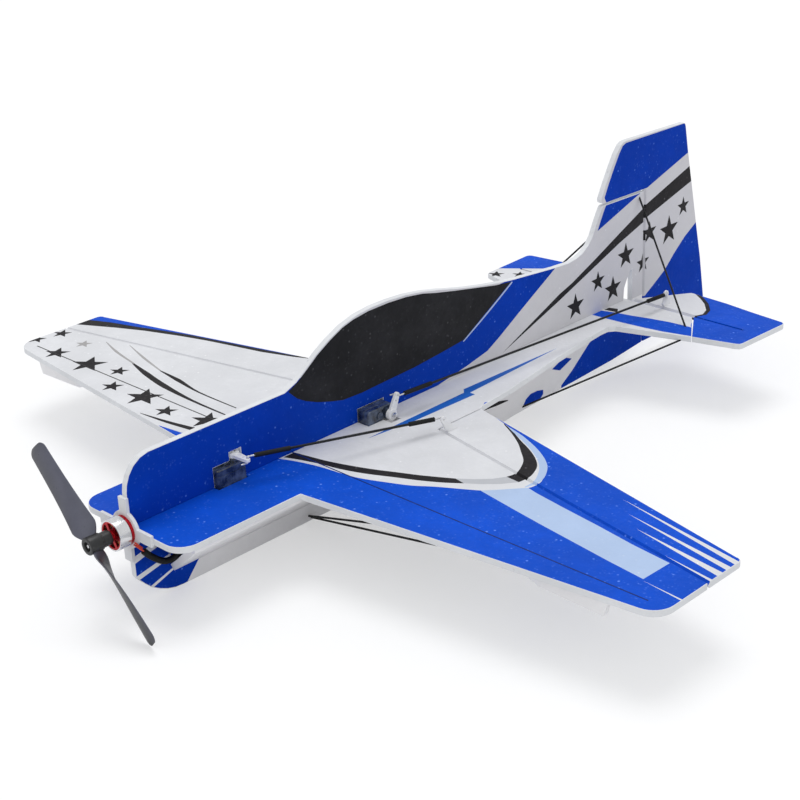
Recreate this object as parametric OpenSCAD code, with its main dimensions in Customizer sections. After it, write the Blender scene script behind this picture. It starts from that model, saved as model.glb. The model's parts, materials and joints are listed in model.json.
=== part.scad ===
// Micro aerobatic foam aeroplane. Crossed flat sheets of 3 mm bead foam make the
// fuselage, wing and tail. A small outrunner motor turns a two-blade propeller, and
// three micro servos move the ailerons, the elevator and the rudder.
// +X is forward, +Y is the aeroplane's left, +Z is up. The origin is on the keel's
// rest face, directly under the wing spar.

/* [Airframe] */
// Wing span, tip to tip
wing_span = 420; // [412:2:428]
// Thickness of every foam sheet
foam_t = 3; // [2.8:0.1:3.2]
// Height of the horizontal sheet's top face above the keel
sheet_top = 38.3; // [37.9:0.1:38.7]
// Half width of the nose, at the sheet's side edge
nose_half = 34.5; // [33.5:0.5:35.5]

/* [Control surfaces] */
// Gap along the slot between the stabiliser and the elevator's balance tip
slot_gap = 0.8; // [0.7:0.1:2]
// Depth of the hinge bevel, measured along the chord
bevel = 1.1; // [1.0:0.1:2.2]
// Gap between the fin's top edge and the rudder's balance
rudder_gap = 1.0; // [0.8:0.1:1.4]

/* [Motor and propeller] */
// Propeller diameter
prop_d = 97; // [90:1:100]
// Propeller pitch, advance per turn
prop_pitch = 60; // [36:2:76]
// Blade chord
prop_chord = 11.2; // [9:0.2:13]
// Outside diameter of the motor's flux ring
bell_d = 14; // [13.8:0.1:14.4]
// Motor shaft diameter
shaft_d = 1.5; // [1.4:0.1:1.6]

/* [Servos and linkage] */
// Servo case length
servo_l = 16.8; // [16:0.2:17.2]
// Servo case width
servo_w = 8.2; // [7.8:0.1:8.4]
// Servo case height, without its boss
servo_h = 15.4; // [14.6:0.2:15.8]
// Aileron arm radius, hub to hole
ail_arm = 9.5; // [8.5:0.5:10]
// Pushrod wire diameter
wire_d = 0.8; // [0.7:0.1:0.8]
// Carbon pushrod diameter
rod_d = 1.2; // [1:0.1:1.4]
// Carbon brace diameter
brace_d = 1.0; // [0.8:0.1:1.2]

/* [Hidden] */

half_span = wing_span/2;
half_foam = foam_t/2;
sheet_bottom = sheet_top - foam_t;
sheet_mid = sheet_top - half_foam;   // height of the wing and tail hinges

// Left wing, X-Y: ends of the aileron hinge line and corners of the trailing edge
hinge_root = [-60, 36];
hinge_tip = [-25, half_span];
trail_root = [-89.4, 36];
trail_tip = [-48.3, half_span];
hinge_run = hinge_tip - hinge_root;
hinge_len = norm(hinge_run);
hinge_lean = atan2(hinge_run[0], hinge_run[1]);   // away from the Y axis
nose_r = 9.5;
tip_r = 10;

// Tail
elevator_x = -248.6;         // hinge lines
rudder_x = -262;
slot_front = [-224.3, 61.2]; // balance slot at the leading edge, X-Y
slot_rear = [-248.7, 45.2];  // balance slot at the hinge line, X-Y
fin_rear_x = rudder_x + 0.5;
fin_h = 58.6;                // fin tip above the sheet
fin_rear_h = fin_h - 0.8;
fin_top = sheet_top + fin_h;

// Distance from each hinge line back to its surface's front edge
ail_setback = 0.2;
elev_setback = 0.6;
rud_setback = 0.3;

// Motor
thrust_z = sheet_top - 1;
front_x = 92;                // front edge of the foam
mount_t = 1.6;
base_x = front_x + mount_t;
ring_rear_x = base_x + 1.7;
ring_front_x = 101;
prop_x = 109.7;              // blade plane

// Servos: output axis in its plane, and height of the case's output face
ail_axis = [33, 0];                     // X-Y
ail_face = sheet_top + 8.8;             // Z
elev_axis = [-54.4, sheet_top + 2.4];   // X-Z
elev_face = 8.4;                        // Y
rud_axis = [-66, -7.5];                 // X-Y
rud_face = sheet_top + 8.8;             // Z
boss_h = 1.3;
arm_t = 1.4;
arm_z = boss_h + 0.5;                   // underside of the arm above the case

// Foam openings, 0.1 larger than the servo case on every side
clear = 0.1;
slot_l = servo_l + 2*clear;
slot_w = servo_w + 2*clear;
slot_h = servo_h + 2*clear;

// Horns
elev_arm = [-4, 8.6];        // elevator arm and horn, axis to hole, X-Z
rud_arm = [0, -9.5];         // rudder arm and horn, axis to hole, X-Y
elev_horn_y = 24;
ail_horn_y = 40;
ail_horn_h = 8;              // hinge to hole
ail_horn_x = hinge_root[0] + (ail_horn_y-hinge_root[1])*hinge_run[0]/hinge_run[1];
rud_horn_z = sheet_top + 19;

// ---------------------------------------------------------------- helpers
function unit(v) = v/norm(v);
function shifted(points, offset) = [for (p = points) p + offset];
function reflected(points) = [for (i = [len(points)-1:-1:0]) [points[i][0], -points[i][1]]];
function arc(center, radius, from, to, steps) =
  [for (i = [0:steps]) let (a = from + (to-from)*i/steps) center + radius*[cos(a), sin(a)]];

// Catmull-Rom curve through the points
function between(before, start, end, after, t) = 0.5*(2*start + (end-before)*t
  + (2*before-5*start+4*end-after)*t*t + (3*start-before-3*end+after)*t*t*t);
function spline(points, steps) = let (last = len(points)-1) concat(
  [for (i = [0:last-1]) for (j = [0:steps-1])
    between(points[max(i-1, 0)], points[i], points[i+1], points[min(i+2, last)], j/steps)],
  [points[last]]);

// Vertical sheet on the centre plane, from an X-Z outline
module upright(points) rotate([90, 0, 0]) linear_extrude(foam_t, center = true) polygon(points);

// Straight round bar between two points
module bar(from, to, radius) {
  v = to - from;
  length = norm(v);
  translate(from) rotate([0, acos(v[2]/length), atan2(v[1], v[0])])
    cylinder(h = length, r = radius, $fn = 24);
}

// Bent round bar with ball corners
module bent(points, radius) {
  for (i = [0:len(points)-2]) bar(points[i], points[i+1], radius);
  for (i = [1:len(points)-2]) translate(points[i]) sphere(radius*1.04, $fn = 24);
}

// Solid through rings of equal point count
module loft(rings) {
  last = len(rings) - 1;
  n = len(rings[0]);
  polyhedron(points = [for (ring = rings) each ring], faces = concat(
    [[for (k = [n-1:-1:0]) k]],
    [for (i = [0:last-1]) for (k = [0:n-1]) [i*n+k, i*n+(k+1)%n, (i+1)*n+(k+1)%n]],
    [for (i = [0:last-1]) for (k = [0:n-1]) [i*n+k, (i+1)*n+(k+1)%n, (i+1)*n+k]],
    [[for (k = [0:n-1]) last*n+k]]), convexity = 6);
}

// Soft cable along a curve through the points
module cable(points, radius, steps = 4, sides = 8) {
  up = [0.11, 0.23, 1];   // tilted, so that no cable runs parallel to it
  path = spline(points, steps);
  last = len(path) - 1;
  loft([for (i = [0:last])
    let (along = unit(path[min(i+1, last)] - path[max(i-1, 0)]),
         across = unit(cross(along, up)), normal = cross(across, along))
    [for (k = [0:sides-1])
      path[i] + radius*(cos(360*k/sides)*across + sin(360*k/sides)*normal)]]);
}

// Cylinder along Z from height z, mostly for holes
module bore(h, r, fn, z = -1) translate([0, 0, z]) cylinder(h = h, r = r, $fn = fn);

module both_sides() for (side = [0, 1]) mirror([0, side, 0]) children();

// ---------------------------------------------------------------- foam sheets
groove_depth = 1.3;   // wing spar groove
brace_clear = 0.02;   // radial clearance of the brace holes

module wing_brace_bars(grow = 0) {
  radius = brace_d/2 + grow;
  for (s = [1, -1]) {
    bar([-7.0, s*0.6, 2.6], [4.4, s*108.4, sheet_bottom+1.1], radius);
    bar([-8.4, s*0.6, 1.4], [4.3, s*153.5, sheet_bottom+0.9], radius);
  }
}
module tail_brace_bars(grow = 0) {
  radius = brace_d/2 + grow;
  for (s = [1, -1]) {
    bar([-257.9, s*0.7, sheet_top+55.9], [-233.6, s*50.8, sheet_top-0.9], radius);
    bar([-158.8, s*0.7, 4.0], [-224, s*56.4, sheet_bottom+1.0], radius);
  }
}

// Left half of the horizontal sheet, X-Y, from the nose back to the elevator hinge
plate_left = concat(
  [[front_x, 0]],
  arc([front_x-nose_r, nose_half-nose_r], nose_r, 0, 90, 8),
  [[25.5, nose_half]],
  arc([-3.2, half_span-tip_r], tip_r, 6.4, 90, 8),
  [hinge_tip + [0.25, 0], hinge_root + [0.25, -0.7], trail_root + [-0.1, -0.7],
   [-92, 34.2], [-116, 31.6], [-163, 24], [-186, 20.8], [-203, 18.8], [-208.5, 18.9],
   [-211.8, 21.5], slot_front + [0.25, -0.4*slot_gap], slot_rear + [1.4, -0.4*slot_gap],
   [elevator_x+1.3, 0]]);

module main_plate() color("royalblue") difference() {
  translate([0, 0, sheet_bottom]) linear_extrude(foam_t)
    polygon(concat(plate_left, reflected(plate_left)));
  // spar groove in the top face
  translate([-0.6, -201, sheet_top-groove_depth]) cube([1.2, 402, 2]);
  // openings for the aileron, rudder and elevator servos
  translate([ail_axis[0]-slot_w/2, -slot_w/2, -50]) cube([slot_l, slot_w, 100]);
  translate([rud_axis[0]-slot_l+slot_w/2, rud_axis[1]-slot_w/2, 0]) cube([slot_l, slot_w, 60]);
  translate([elev_axis[0]-slot_w/2, elev_face-servo_h-clear, elev_axis[1]-slot_w/2])
    cube([slot_l, slot_h, 20]);
  // shallow recess under the elevator servo's output boss and arm hub
  translate([elev_axis[0]-3.1, elev_face-0.1, sheet_top-0.8]) cube([6.2, 5.6, 2]);
  // hole for the elevator servo's lead
  translate([-30, -9, sheet_bottom-2]) cylinder(h = 10, r = 2.2, $fn = 32);
  wing_brace_bars(brace_clear);
  tail_brace_bars(brace_clear);
}

// Upper sheet outline: X, height above the sheet's top
upper_outline = [
  [front_x, 0], [front_x, 15.5], [91.4, 19.2], [89.7, 23.2], [87, 26.7], [83.2, 29.2],
  [78.8, 30.3], [2, 30.3], [-5, 33], [-11, 37], [-18, 42], [-26, 46.6], [-35, 50.6],
  [-44, 53], [-54, 54.1], [-65, 54.1], [-77, 53.3], [-88, 51.7], [-99, 49.3],
  [-110, 46.6], [-120, 44.3], [-130, 42.3], [-141, 40.4], [-152, 38.9], [-186, 35.6],
  [-197, 34.9], [-204, 35.6], [-209, 37.2], [-214, 40.4], [-217.4, 44.5], [-220, 49.4],
  [-222.9, 54.6], [-225.2, 58.2], [-226, fin_h], [fin_rear_x, fin_rear_h],
  [fin_rear_x, -half_foam], [-251.8, -half_foam], [-251.8, 15.6], [-249.8, 15.6],
  [-245.2, 7], [-244.6, 0]];

module upper_fuselage() color("royalblue") difference() {
  upright(shifted(upper_outline, [0, sheet_top]));
  // opening for the aileron servo, its arm and its screw
  translate([ail_axis[0]-slot_w/2, -5, sheet_top-5])
    cube([slot_l, 10, 5+ail_face-sheet_top+0.8]);
  translate([ail_axis[0]-3.3, -5, ail_face-1]) cube([6.6, 10, 5.9]);
  // opening for the elevator servo
  translate([elev_axis[0]-slot_w/2, -5, sheet_top-5])
    cube([slot_l, 10, elev_axis[1]+slot_w/2-sheet_top+5]);
  tail_brace_bars(brace_clear);
}

// Lower sheet outline, X-Z
lower_outline = [
  [front_x, sheet_bottom], [front_x, 14.2], [90.6, 12], [87.8, 8.9], [84.6, 5.8], [80.5, 3.3],
  [76.3, 1.4], [72.1, 0.3], [68, 0], [-120, 0], [-136, 0.6], [-152, 1.9], [-170, 2.9],
  [-192, 3.9], [-212, 4.8], [-235, 5.9], [fin_rear_x, 8.3], [fin_rear_x, sheet_mid],
  [-251.8, sheet_mid], [-251.8, sheet_bottom-12.6], [-249.8, sheet_bottom-12.6],
  [-245.2, sheet_bottom-6], [-244.6, sheet_bottom]];

module lower_fuselage() color("gainsboro") difference() {
  upright(lower_outline);
  translate([ail_axis[0]-slot_w/2, -5, ail_face-servo_h-clear]) cube([slot_l, 10, 30]);
  // wiring hole
  translate([22, 5, sheet_bottom-8]) rotate([90, 0, 0]) cylinder(h = 10, r = 3.5, $fn = 40);
  wing_brace_bars(brace_clear);
  tail_brace_bars(brace_clear);
}

// Sloping side of the closed nose channel: Y-Z section cut to an X-Z outline
module side_panel() {
  inner_y = half_foam;
  inner_z = 8.6;
  outer_y = nose_half - 0.7;
  outer_z = sheet_bottom - 1.5;
  slope = (outer_z-inner_z)/(outer_y-inner_y);
  upright_t = foam_t*sqrt(1+slope*slope);   // foam thickness measured along Z
  intersection() {
    translate([-60, 0, 0]) rotate([90, 0, 90]) linear_extrude(160)
      polygon([[inner_y, inner_z], [outer_y, outer_z], [outer_y, sheet_bottom],
        [inner_y+(sheet_bottom-inner_z-upright_t)/slope, sheet_bottom],
        [inner_y, inner_z+upright_t]]);
    translate([0, 60, 0]) rotate([90, 0, 0]) linear_extrude(70)
      polygon([[70.5, 0], [72.3, 9], [76.7, 19.5], [84, 33], [84, 45], [-42, 45], [-42, 31],
        [-56, 0]]);
  }
}
module left_side_panel() color("whitesmoke") side_panel();
module right_side_panel() color("whitesmoke") mirror([0, 1, 0]) side_panel();

// Small plates across the airflow: Y, height from the sheet's underside
plate_outline = [[139, 0], [153, -5.2], [185.5, -6.2], [187.5, 0]];
module underwing_plates() color("whitesmoke") both_sides()
  translate([8.2-foam_t, 0, 0]) rotate([90, 0, 90]) linear_extrude(foam_t)
    polygon(shifted(plate_outline, [0, sheet_bottom]));

// Wedge pair that bevels a front edge, extruded along Z. X runs forward, Y across the foam.
module bevel_wedges(edge, front, depth, length) {
  reach = half_foam*1.05;
  for (s = [1, -1]) linear_extrude(length)
    polygon([[edge, 0], [edge-depth, s*reach], [front, s*reach], [front, 0]]);
}

// Aileron outline, X-Y, with two points of an arc for its rear tip corner
rear_tip_arc = arc([trail_tip[0]+2.2, half_span-2.6], 2.6, 165, 90, 4);
aileron_outline = [
  [hinge_root[0]-ail_setback*1.02, hinge_root[1]], trail_root,
  [trail_tip[0]-0.35, half_span-3], rear_tip_arc[0], rear_tip_arc[2],
  [trail_tip[0]+2.2, half_span], [hinge_tip[0]-ail_setback*1.02, half_span]];

module aileron() {
  overrun = 8;   // wedge length past each end of the hinge
  difference() {
    translate([0, 0, sheet_bottom]) linear_extrude(foam_t) polygon(aileron_outline);
    translate([hinge_root[0], hinge_root[1], sheet_mid]) rotate([0, 0, -hinge_lean])
      translate([0, hinge_len+overrun, 0]) rotate([90, 0, 0])
        bevel_wedges(-ail_setback, 1, bevel*1.05, hinge_len+2*overrun);
  }
}
module left_aileron() color("royalblue") aileron();
module right_aileron() color("whitesmoke") mirror([0, 1, 0]) aileron();

// Left elevator outline, X-Y
elev_edge_x = elevator_x - elev_setback;
elevator_outline = [
  [elev_edge_x, 4.2], [-276.4, 23.4], [-276.6, 25.5], [-275, 48], [-272.4, 66],
  [-270.2, 85.6], [-269.2, 87.2], [-267.4, 87.8], [-233, 86.2], [-231.2, 85.6],
  [-230.2, 83.6], slot_front + [-0.05, 0.5*slot_gap-0.45],
  slot_rear + [0.35, 0.5*slot_gap-0.35], [elev_edge_x, slot_rear[1]+0.5*slot_gap-0.35]];

module elevator_half() difference() {
  translate([0, 0, sheet_bottom]) linear_extrude(foam_t) polygon(elevator_outline);
  translate([0, slot_rear[1]+0.5*slot_gap-0.4, sheet_mid]) rotate([90, 0, 0])
    bevel_wedges(elev_edge_x, elevator_x+2, bevel, 50);
  // groove for the spar
  translate([elevator_x-0.6, 40, sheet_mid-0.6]) cube([1.2, 36.2, 10]);
}
module left_elevator() color("royalblue") elevator_half();
module right_elevator() color("whitesmoke") mirror([0, 1, 0]) elevator_half();
module elevator_spar() color("black")
  translate([elevator_x, 76, sheet_mid]) rotate([90, 0, 0])
    cylinder(h = 152, r = 0.55, $fn = 24);

// Rudder outline, X-Z; the middle part is X, height above the sheet's top
rud_edge_x = rudder_x - rud_setback;
balance_z = fin_top - 0.8 + rudder_gap;   // underside of the balance at the hinge
rudder_outline = concat(
  [[rud_edge_x, 8.3], [rud_edge_x, balance_z], [-226.5, fin_top+rudder_gap]],
  shifted([[-224.6, 60.6], [-224.2, 62.4], [-228.5, 70.5], [-233, 78], [-237, 84.2],
    [-240.5, 88], [-243, 89.2], [-245, 89.4], [-296.3, 87.9], [-297.8, 87.2],
    [-298.5, 85.6], [-301.5, 70], [-305.3, 53], [-310.8, 28], [-316, 5.5],
    [-320.3, -19]], [0, sheet_top]),
  [[-321.8, 10.4], [-320.6, 8.4]]);

module rudder() color("royalblue") difference() {
  upright(rudder_outline);
  bevel_wedges(rud_edge_x, rudder_x+2, bevel, balance_z);
}

module wing_spar() color("black")
  translate([-0.55, -200.5, sheet_top-groove_depth]) cube([1.1, 401, groove_depth]);
module wing_braces() color("black") wing_brace_bars();
module tail_braces() color("black") tail_brace_bars();

module hinge_tapes() color("lightgrey") {
  tape_w = 6;
  tape_t = 0.12;
  both_sides() {
    translate([hinge_root[0], hinge_root[1], sheet_bottom-tape_t]) rotate([0, 0, -hinge_lean])
      translate([0.8, 2, 0]) cube([tape_w, hinge_len-4, tape_t]);
    translate([elevator_x+1.4, 5, sheet_bottom-tape_t]) cube([tape_w, 36, tape_t]);
  }
  translate([rudder_x+1.1, -half_foam-tape_t, 27]) cube([tape_w, tape_t, 63.5]);
}

// ---------------------------------------------------------------- motor
screw_circle_d = 9;
bell_r = bell_d/2;
shaft_bore_r = shaft_d/2 + 0.005;
tooth_count = 9;
magnet_count = 12;

// Puts a part built along +Z on the thrust line, pointing forward from x
module along_x(x) translate([x, 0, thrust_z]) rotate([0, 90, 0]) children();
module at_screws(z) for (a = [45:90:315]) rotate([0, 0, a])
  translate([screw_circle_d/2, 0, z]) children();

module motor_mount() color("whitesmoke") along_x(front_x) difference() {
  union() {
    cylinder(h = mount_t, r = 8.6, $fn = 64);
    // crossed arms: angle, half length
    for (arm = [[0, 15], [90, 17.5]]) rotate([0, 0, arm[0]])
      translate([-arm[1], -2.6, 0]) cube([2*arm[1], 5.2, mount_t]);
  }
  bore(4, 1.6, 32);
  at_screws(-1) cylinder(h = 4, r = 0.85, $fn = 24);
}

module mount_screws() color("silver") along_x(front_x) at_screws(-1) {
  difference() {
    cylinder(h = 1.0, r = 1.1, $fn = 32);
    bore(0.9, 0.55, 6, z = -0.5);
  }
  bore(2.9, 0.75, 24, z = 0.9);
}

module motor_base() color("firebrick") along_x(base_x) difference() {
  union() {
    cylinder(h = 1.3, r = bell_r-0.3, $fn = 64);
    cylinder(h = 6.0, r = 2.5, $fn = 48);
  }
  bore(8, 1.1, 32);
  // bearing seats
  bore(2.3, 2.0, 40);
  bore(2, 2.0, 40, z = 4.7);
  at_screws(-1) cylinder(h = 3, r = 0.78, $fn = 24);
}

module stator_core() color("dimgray") along_x(base_x+1.9) {
  stack_h = 3.0;
  difference() {
    union() {
      cylinder(h = stack_h, r = 3.3, $fn = 40);
      for (i = [0:tooth_count-1]) rotate([0, 0, i*360/tooth_count]) {
        translate([2.9, -0.45, 0]) cube([2.1, 0.9, stack_h]);
        translate([4.85, -1.25, 0]) cube([0.45, 2.5, stack_h]);
      }
    }
    bore(6, 2.51, 40);
  }
}

module stator_windings() color("chocolate") along_x(base_x+1.6)
  for (i = [0:tooth_count-1]) rotate([0, 0, i*360/tooth_count]) difference() {
    translate([3.4, -0.9, 0]) cube([1.35, 1.8, 3.6]);
    translate([3.3, -0.46, 0.29]) cube([1.55, 0.92, 3.02]);
  }

module motor_bearings() color("silver") along_x(base_x)
  for (z = [0, 4.75]) translate([0, 0, z]) difference() {
    cylinder(h = 1.2, r = 1.97, $fn = 40);
    bore(4, shaft_d/2+0.03, 32);
  }

module flux_ring() color("silver") along_x(ring_rear_x) difference() {
  cylinder(h = ring_front_x-ring_rear_x, r = bell_r, $fn = 72);
  bore(9, bell_r-0.7, 72);
}

module rotor_magnets() color("gray") along_x(ring_rear_x+0.2)
  for (i = [0:magnet_count-1]) rotate([0, 0, (i+0.5)*360/magnet_count]) linear_extrude(4.2)
    polygon(concat(arc([0, 0], bell_r-0.74, -12, 12, 4), arc([0, 0], bell_r-1.34, 12, -12, 4)));

module bell_spider() color("firebrick") along_x(ring_front_x-1.1) difference() {
  union() {
    cylinder(h = 0.9, r = bell_r-0.71, $fn = 72);
    cylinder(h = 2.0, r = 2.4, $fn = 40);
  }
  // openings between the six spokes
  for (i = [0:5]) rotate([0, 0, i*60]) linear_extrude(6, center = true)
    polygon(concat(arc([0, 0], 5.6, -21, 21, 6), arc([0, 0], 2.9, 15, -15, 3)));
  bore(6, shaft_bore_r, 32);
}

module motor_shaft() color("lightsteelblue") along_x(base_x-0.6)
  cylinder(h = 112.6-base_x+0.6, r = shaft_d/2, $fn = 32);

module prop_adapter() color("black") along_x(ring_front_x+1.0) difference() {
  cylinder(h = 4.6, r = 3.3, $fn = 48);
  bore(12, shaft_bore_r, 32);
}

// Blade stations: share of the way from root to tip
blade_root_r = 3.2;
blade_stations = [0, 0.03, 0.06, 0.09, 0.12, 0.18, 0.26, 0.4, 0.5, 0.6, 0.7, 0.8, 0.87, 0.93,
  0.95, 0.97, 0.985, 1];
root_end = 0.12;    // the chord widens up to here
tip_start = 0.93;   // the chord rounds off from here

function chord_at(share) =
  prop_chord - (share < root_end ? 5.4*pow(1-share/root_end, 1.5) : 0)
  - (share > tip_start
    ? prop_chord*(1-sqrt(1-0.72*pow((share-tip_start)/(1-tip_start), 2))) : 0);
function thickness_at(share) = 1.9 - 1.1*sqrt(share);

// Cambered ellipse, turned to the pitch angle at its radius
function blade_section(share) =
  let (radius = blade_root_r + share*(prop_d/2-blade_root_r),
       chord = chord_at(share), thickness = thickness_at(share),
       pitch = atan(prop_pitch/(2*PI*radius)))
  [for (k = [0:15])
    let (a = -360*k/16, x = chord*0.5*cos(a),
         y = thickness*0.5*sin(a) + 0.04*chord*(1-pow(cos(a), 2)))
    [x*sin(pitch) + y*cos(pitch), y*sin(pitch) - x*cos(pitch), radius]];

module blade() loft([for (share = blade_stations) blade_section(share)]);

module propeller() color("dimgray")
  translate([prop_x, 0, thrust_z]) rotate([45, 0, 0]) difference() {
    union() {
      blade();
      rotate([180, 0, 0]) blade();
      translate([-3.1, 0, 0]) rotate([0, 90, 0]) cylinder(h = 6.5, r = 3.9, $fn = 48);
    }
    translate([-5, 0, 0]) rotate([0, 90, 0]) cylinder(h = 12, r = shaft_bore_r, $fn = 32);
    translate([2.2, 0, 0]) rotate([0, 90, 0]) cylinder(h = 4, r = 2.1, $fn = 40);
  }

// Cable runs from the motor to the speed controller: X, Y, height from the thrust line
wires_front = [[94.4, 6.9, -4.6], [93.7, 8.5, -5.6], [92.3, 9.1, -7.3]];
wires_rear = [[75.5, 13.1, -13.6], [69, 13.4, -11], [61, 12.4, -6.6], [57.2, 11.8, -4.6]];
sleeve_run = [[92, 9.3, -7.6], [89.2, 10, -11], [84, 11.2, -15.1], [79.6, 12.4, -15.2],
  [76.4, 13.0, -13.1]];

module motor_wires() color("orangered")
  for (i = [0:2]) for (run = [wires_front, wires_rear])
    cable(shifted(run, [0, (i-1)*0.7, thrust_z + (i == 1 ? 1.2 : 0)]), 0.36, steps = 3);
module motor_wire_sleeve() color("black")
  cable(shifted(sleeve_run, [0, 0, thrust_z]), 1.45, sides = 12);

// ---------------------------------------------------------------- electronics
// These hang below the sheet, so their heights are from its underside
module below_sheet() translate([0, 0, sheet_bottom]) children();

module speed_controller() color("darkslategray")
  below_sheet() translate([41, 6.6, -3.1]) cube([16, 10, 3.1]);
module receiver() color("darkslategray") below_sheet() {
  translate([4, -16.2, -4]) cube([15, 10.4, 4]);
  // aerial
  cable([[3.9, -13, -2.5], [-6, -14, -2.6], [-18, -17, -1.6], [-27, -20, -1.3]], 0.4, steps = 3);
}
module battery() color("steelblue")
  below_sheet() translate([30, -15.4, -11.2]) cube([38, 10.8, 10.2]);
module battery_pad() color("black") below_sheet() translate([36, -14.4, -1]) cube([26, 8.8, 1]);

lead_r = 0.5;
module battery_lead() below_sheet() {
  color("red") cable([[29.3, -8.2, -7], [25.4, -5.6, -7.2], [22, 0, -7.1], [24.6, 5.4, -6.2],
    [29.9, 8.2, -2.6]], lead_r);
  color("black") cable([[29.3, -10.4, -7], [24, -7.2, -8.4], [20.6, 0, -8.8],
    [23.2, 6.8, -7.6], [29.9, 10.6, -2.6]], lead_r);
  // plug
  color("white") translate([30, 6.8, -4.2]) cube([9, 5.0, 3.6]);
}

module servo_leads() color("saddlebrown") below_sheet() {
  // aileron servo
  cable([[ail_axis[0]-3.6, -servo_w/2-0.5, ail_face-servo_h+1.5-sheet_bottom],
    [ail_axis[0]-8, -6.6, -4.6], [19.2, -9, -2.4]], lead_r);
  // elevator servo, down through the sheet
  cable([[-48, -7.6, foam_t+2], [-41, -9.2, foam_t+1.2], [-33, -9.2, foam_t+0.9],
    [-30, -9, half_foam], [-27, -9, -1.6], [-12, -9.2, -2], [3.5, -9.4, -2.2]],
    lead_r, steps = 3);
  // rudder servo
  cable([[-61.4, rud_axis[1]-2, -1.4], [-48, -11.6, -1.6], [-20, -11.6, -1.3],
    [3.5, -11.2, -2.2]], lead_r);
}

// ---------------------------------------------------------------- servos
// Built with the output axis at the origin along +Z and the case's top face at z = 0
output_r = 1.2;
wire_hole_r = wire_d/2 + 0.06;

module servo_case() difference() {
  union() {
    translate([-servo_w/2, -servo_w/2, -servo_h]) cube([servo_l, servo_w, servo_h]);
    cylinder(h = boss_h, r = 2.9, $fn = 48);
    translate([5.2, 0, 0]) cylinder(h = 0.7, r = 1.9, $fn = 40);
  }
  bore(8, output_r+0.05, 40, z = -3);
}

module servo_shaft() difference() {
  bore(2.8+arm_z+1.0, output_r, 40, z = -2.8);
  bore(5, 0.55, 24, z = 0.8);
}

// Hub with one arm to each tip; each arm has a hole at its tip and one further in
module servo_arm(tips) {
  root_half = 2.1;
  tip_half = 1.35;
  difference() {
    union() {
      bore(arm_t+0.9, 2.7, 48, z = arm_z-0.3);
      for (tip = tips) let (length = norm(tip))
        translate([0, 0, arm_z]) rotate([0, 0, atan2(tip[1], tip[0])])
          linear_extrude(arm_t) union() {
            polygon([[0, -root_half], [length, -tip_half], [length, tip_half], [0, root_half]]);
            translate([length, 0]) circle(tip_half, $fn = 32);
          }
    }
    bore(arm_z+2.03, output_r+0.005, 40);
    cylinder(h = 10, r = 0.7, $fn = 24);
    for (tip = tips) for (share = [1, 0.72])
      translate([tip[0]*share, tip[1]*share, 0]) cylinder(h = 6, r = wire_hole_r, $fn = 24);
  }
}

// Cross-slotted screw in the arm's hub
module arm_screw() {
  head_z = arm_z + arm_t + 0.6;
  translate([0, 0, head_z]) difference() {
    cylinder(h = 0.8, r = 1.3, $fn = 32);
    translate([-0.2, -2, 0.4]) cube([0.4, 4, 1]);
    translate([-2, -0.2, 0.4]) cube([4, 0.4, 1]);
  }
  bore(2.7, 0.5, 24, z = head_z-2.6);
}

module at_ail() translate([ail_axis[0], ail_axis[1], ail_face]) children();
module at_elev() translate([elev_axis[0], elev_face, elev_axis[1]]) rotate([-90, 0, 0]) children();
module at_rud() translate([rud_axis[0], rud_axis[1], rud_face]) children();

module aileron_servo() color("slategray") at_ail() servo_case();
module elevator_servo() color("slategray") at_elev() servo_case();
module rudder_servo() color("slategray") at_rud() rotate([0, 0, 180]) servo_case();
module aileron_servo_shaft() color("white") at_ail() servo_shaft();
module elevator_servo_shaft() color("white") at_elev() servo_shaft();
module rudder_servo_shaft() color("white") at_rud() servo_shaft();
module aileron_servo_arm() color("white") at_ail() servo_arm([[0, ail_arm], [0, -ail_arm]]);
module elevator_servo_arm() color("white") at_elev() servo_arm([[elev_arm[0], -elev_arm[1]]]);
module rudder_servo_arm() color("white") at_rud() servo_arm([rud_arm]);
module aileron_arm_screw() color("silver") at_ail() arm_screw();
module elevator_arm_screw() color("silver") at_elev() arm_screw();
module rudder_arm_screw() color("silver") at_rud() arm_screw();

// ---------------------------------------------------------------- horns
// Plate in the X-Z plane, centred on Y = 0, hinge at the origin, hole at [x, z]
module horn(x, z) rotate([90, 0, 0]) linear_extrude(1, center = true) difference() {
  foot = 6;
  union() {
    polygon([[-2.2, half_foam], [-2.2-foot, half_foam], [-2.2-foot*0.75, half_foam+1],
      [x-1.25, z-0.7], [x+1.25, z-0.7], [-0.6, half_foam+1.6]]);
    translate([x, z]) circle(1.5, $fn = 32);
  }
  translate([x, z]) circle(wire_hole_r, $fn = 24);
}

module aileron_horn() translate([ail_horn_x, ail_horn_y, sheet_mid])
  rotate([0, 0, -hinge_lean]) horn(0, ail_horn_h);
module left_aileron_horn() color("white") aileron_horn();
module right_aileron_horn() color("white") mirror([0, 1, 0]) aileron_horn();
module elevator_horn() color("white")
  translate([elevator_x, elev_horn_y, sheet_mid]) horn(elev_arm[0], elev_arm[1]);
module rudder_horn() color("white")
  translate([rudder_x, 0, rud_horn_z]) rotate([90, 0, 0]) horn(rud_arm[0], -rud_arm[1]);

// ---------------------------------------------------------------- pushrods
// Carbon rod with a bent wire at each end. The hook is listed towards the start and
// the tail away from the end, both as offsets from that point.
module pushrod(start, end, hook, tail) {
  along = unit(end - start);
  bent(concat(shifted(hook, start), [start, start + 7*along]), wire_d/2);
  bar(start + 6.8*along, end - 6.8*along, rod_d/2);
  bent(concat([end - 7*along, end], shifted(tail, end)), wire_d/2);
}

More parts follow.
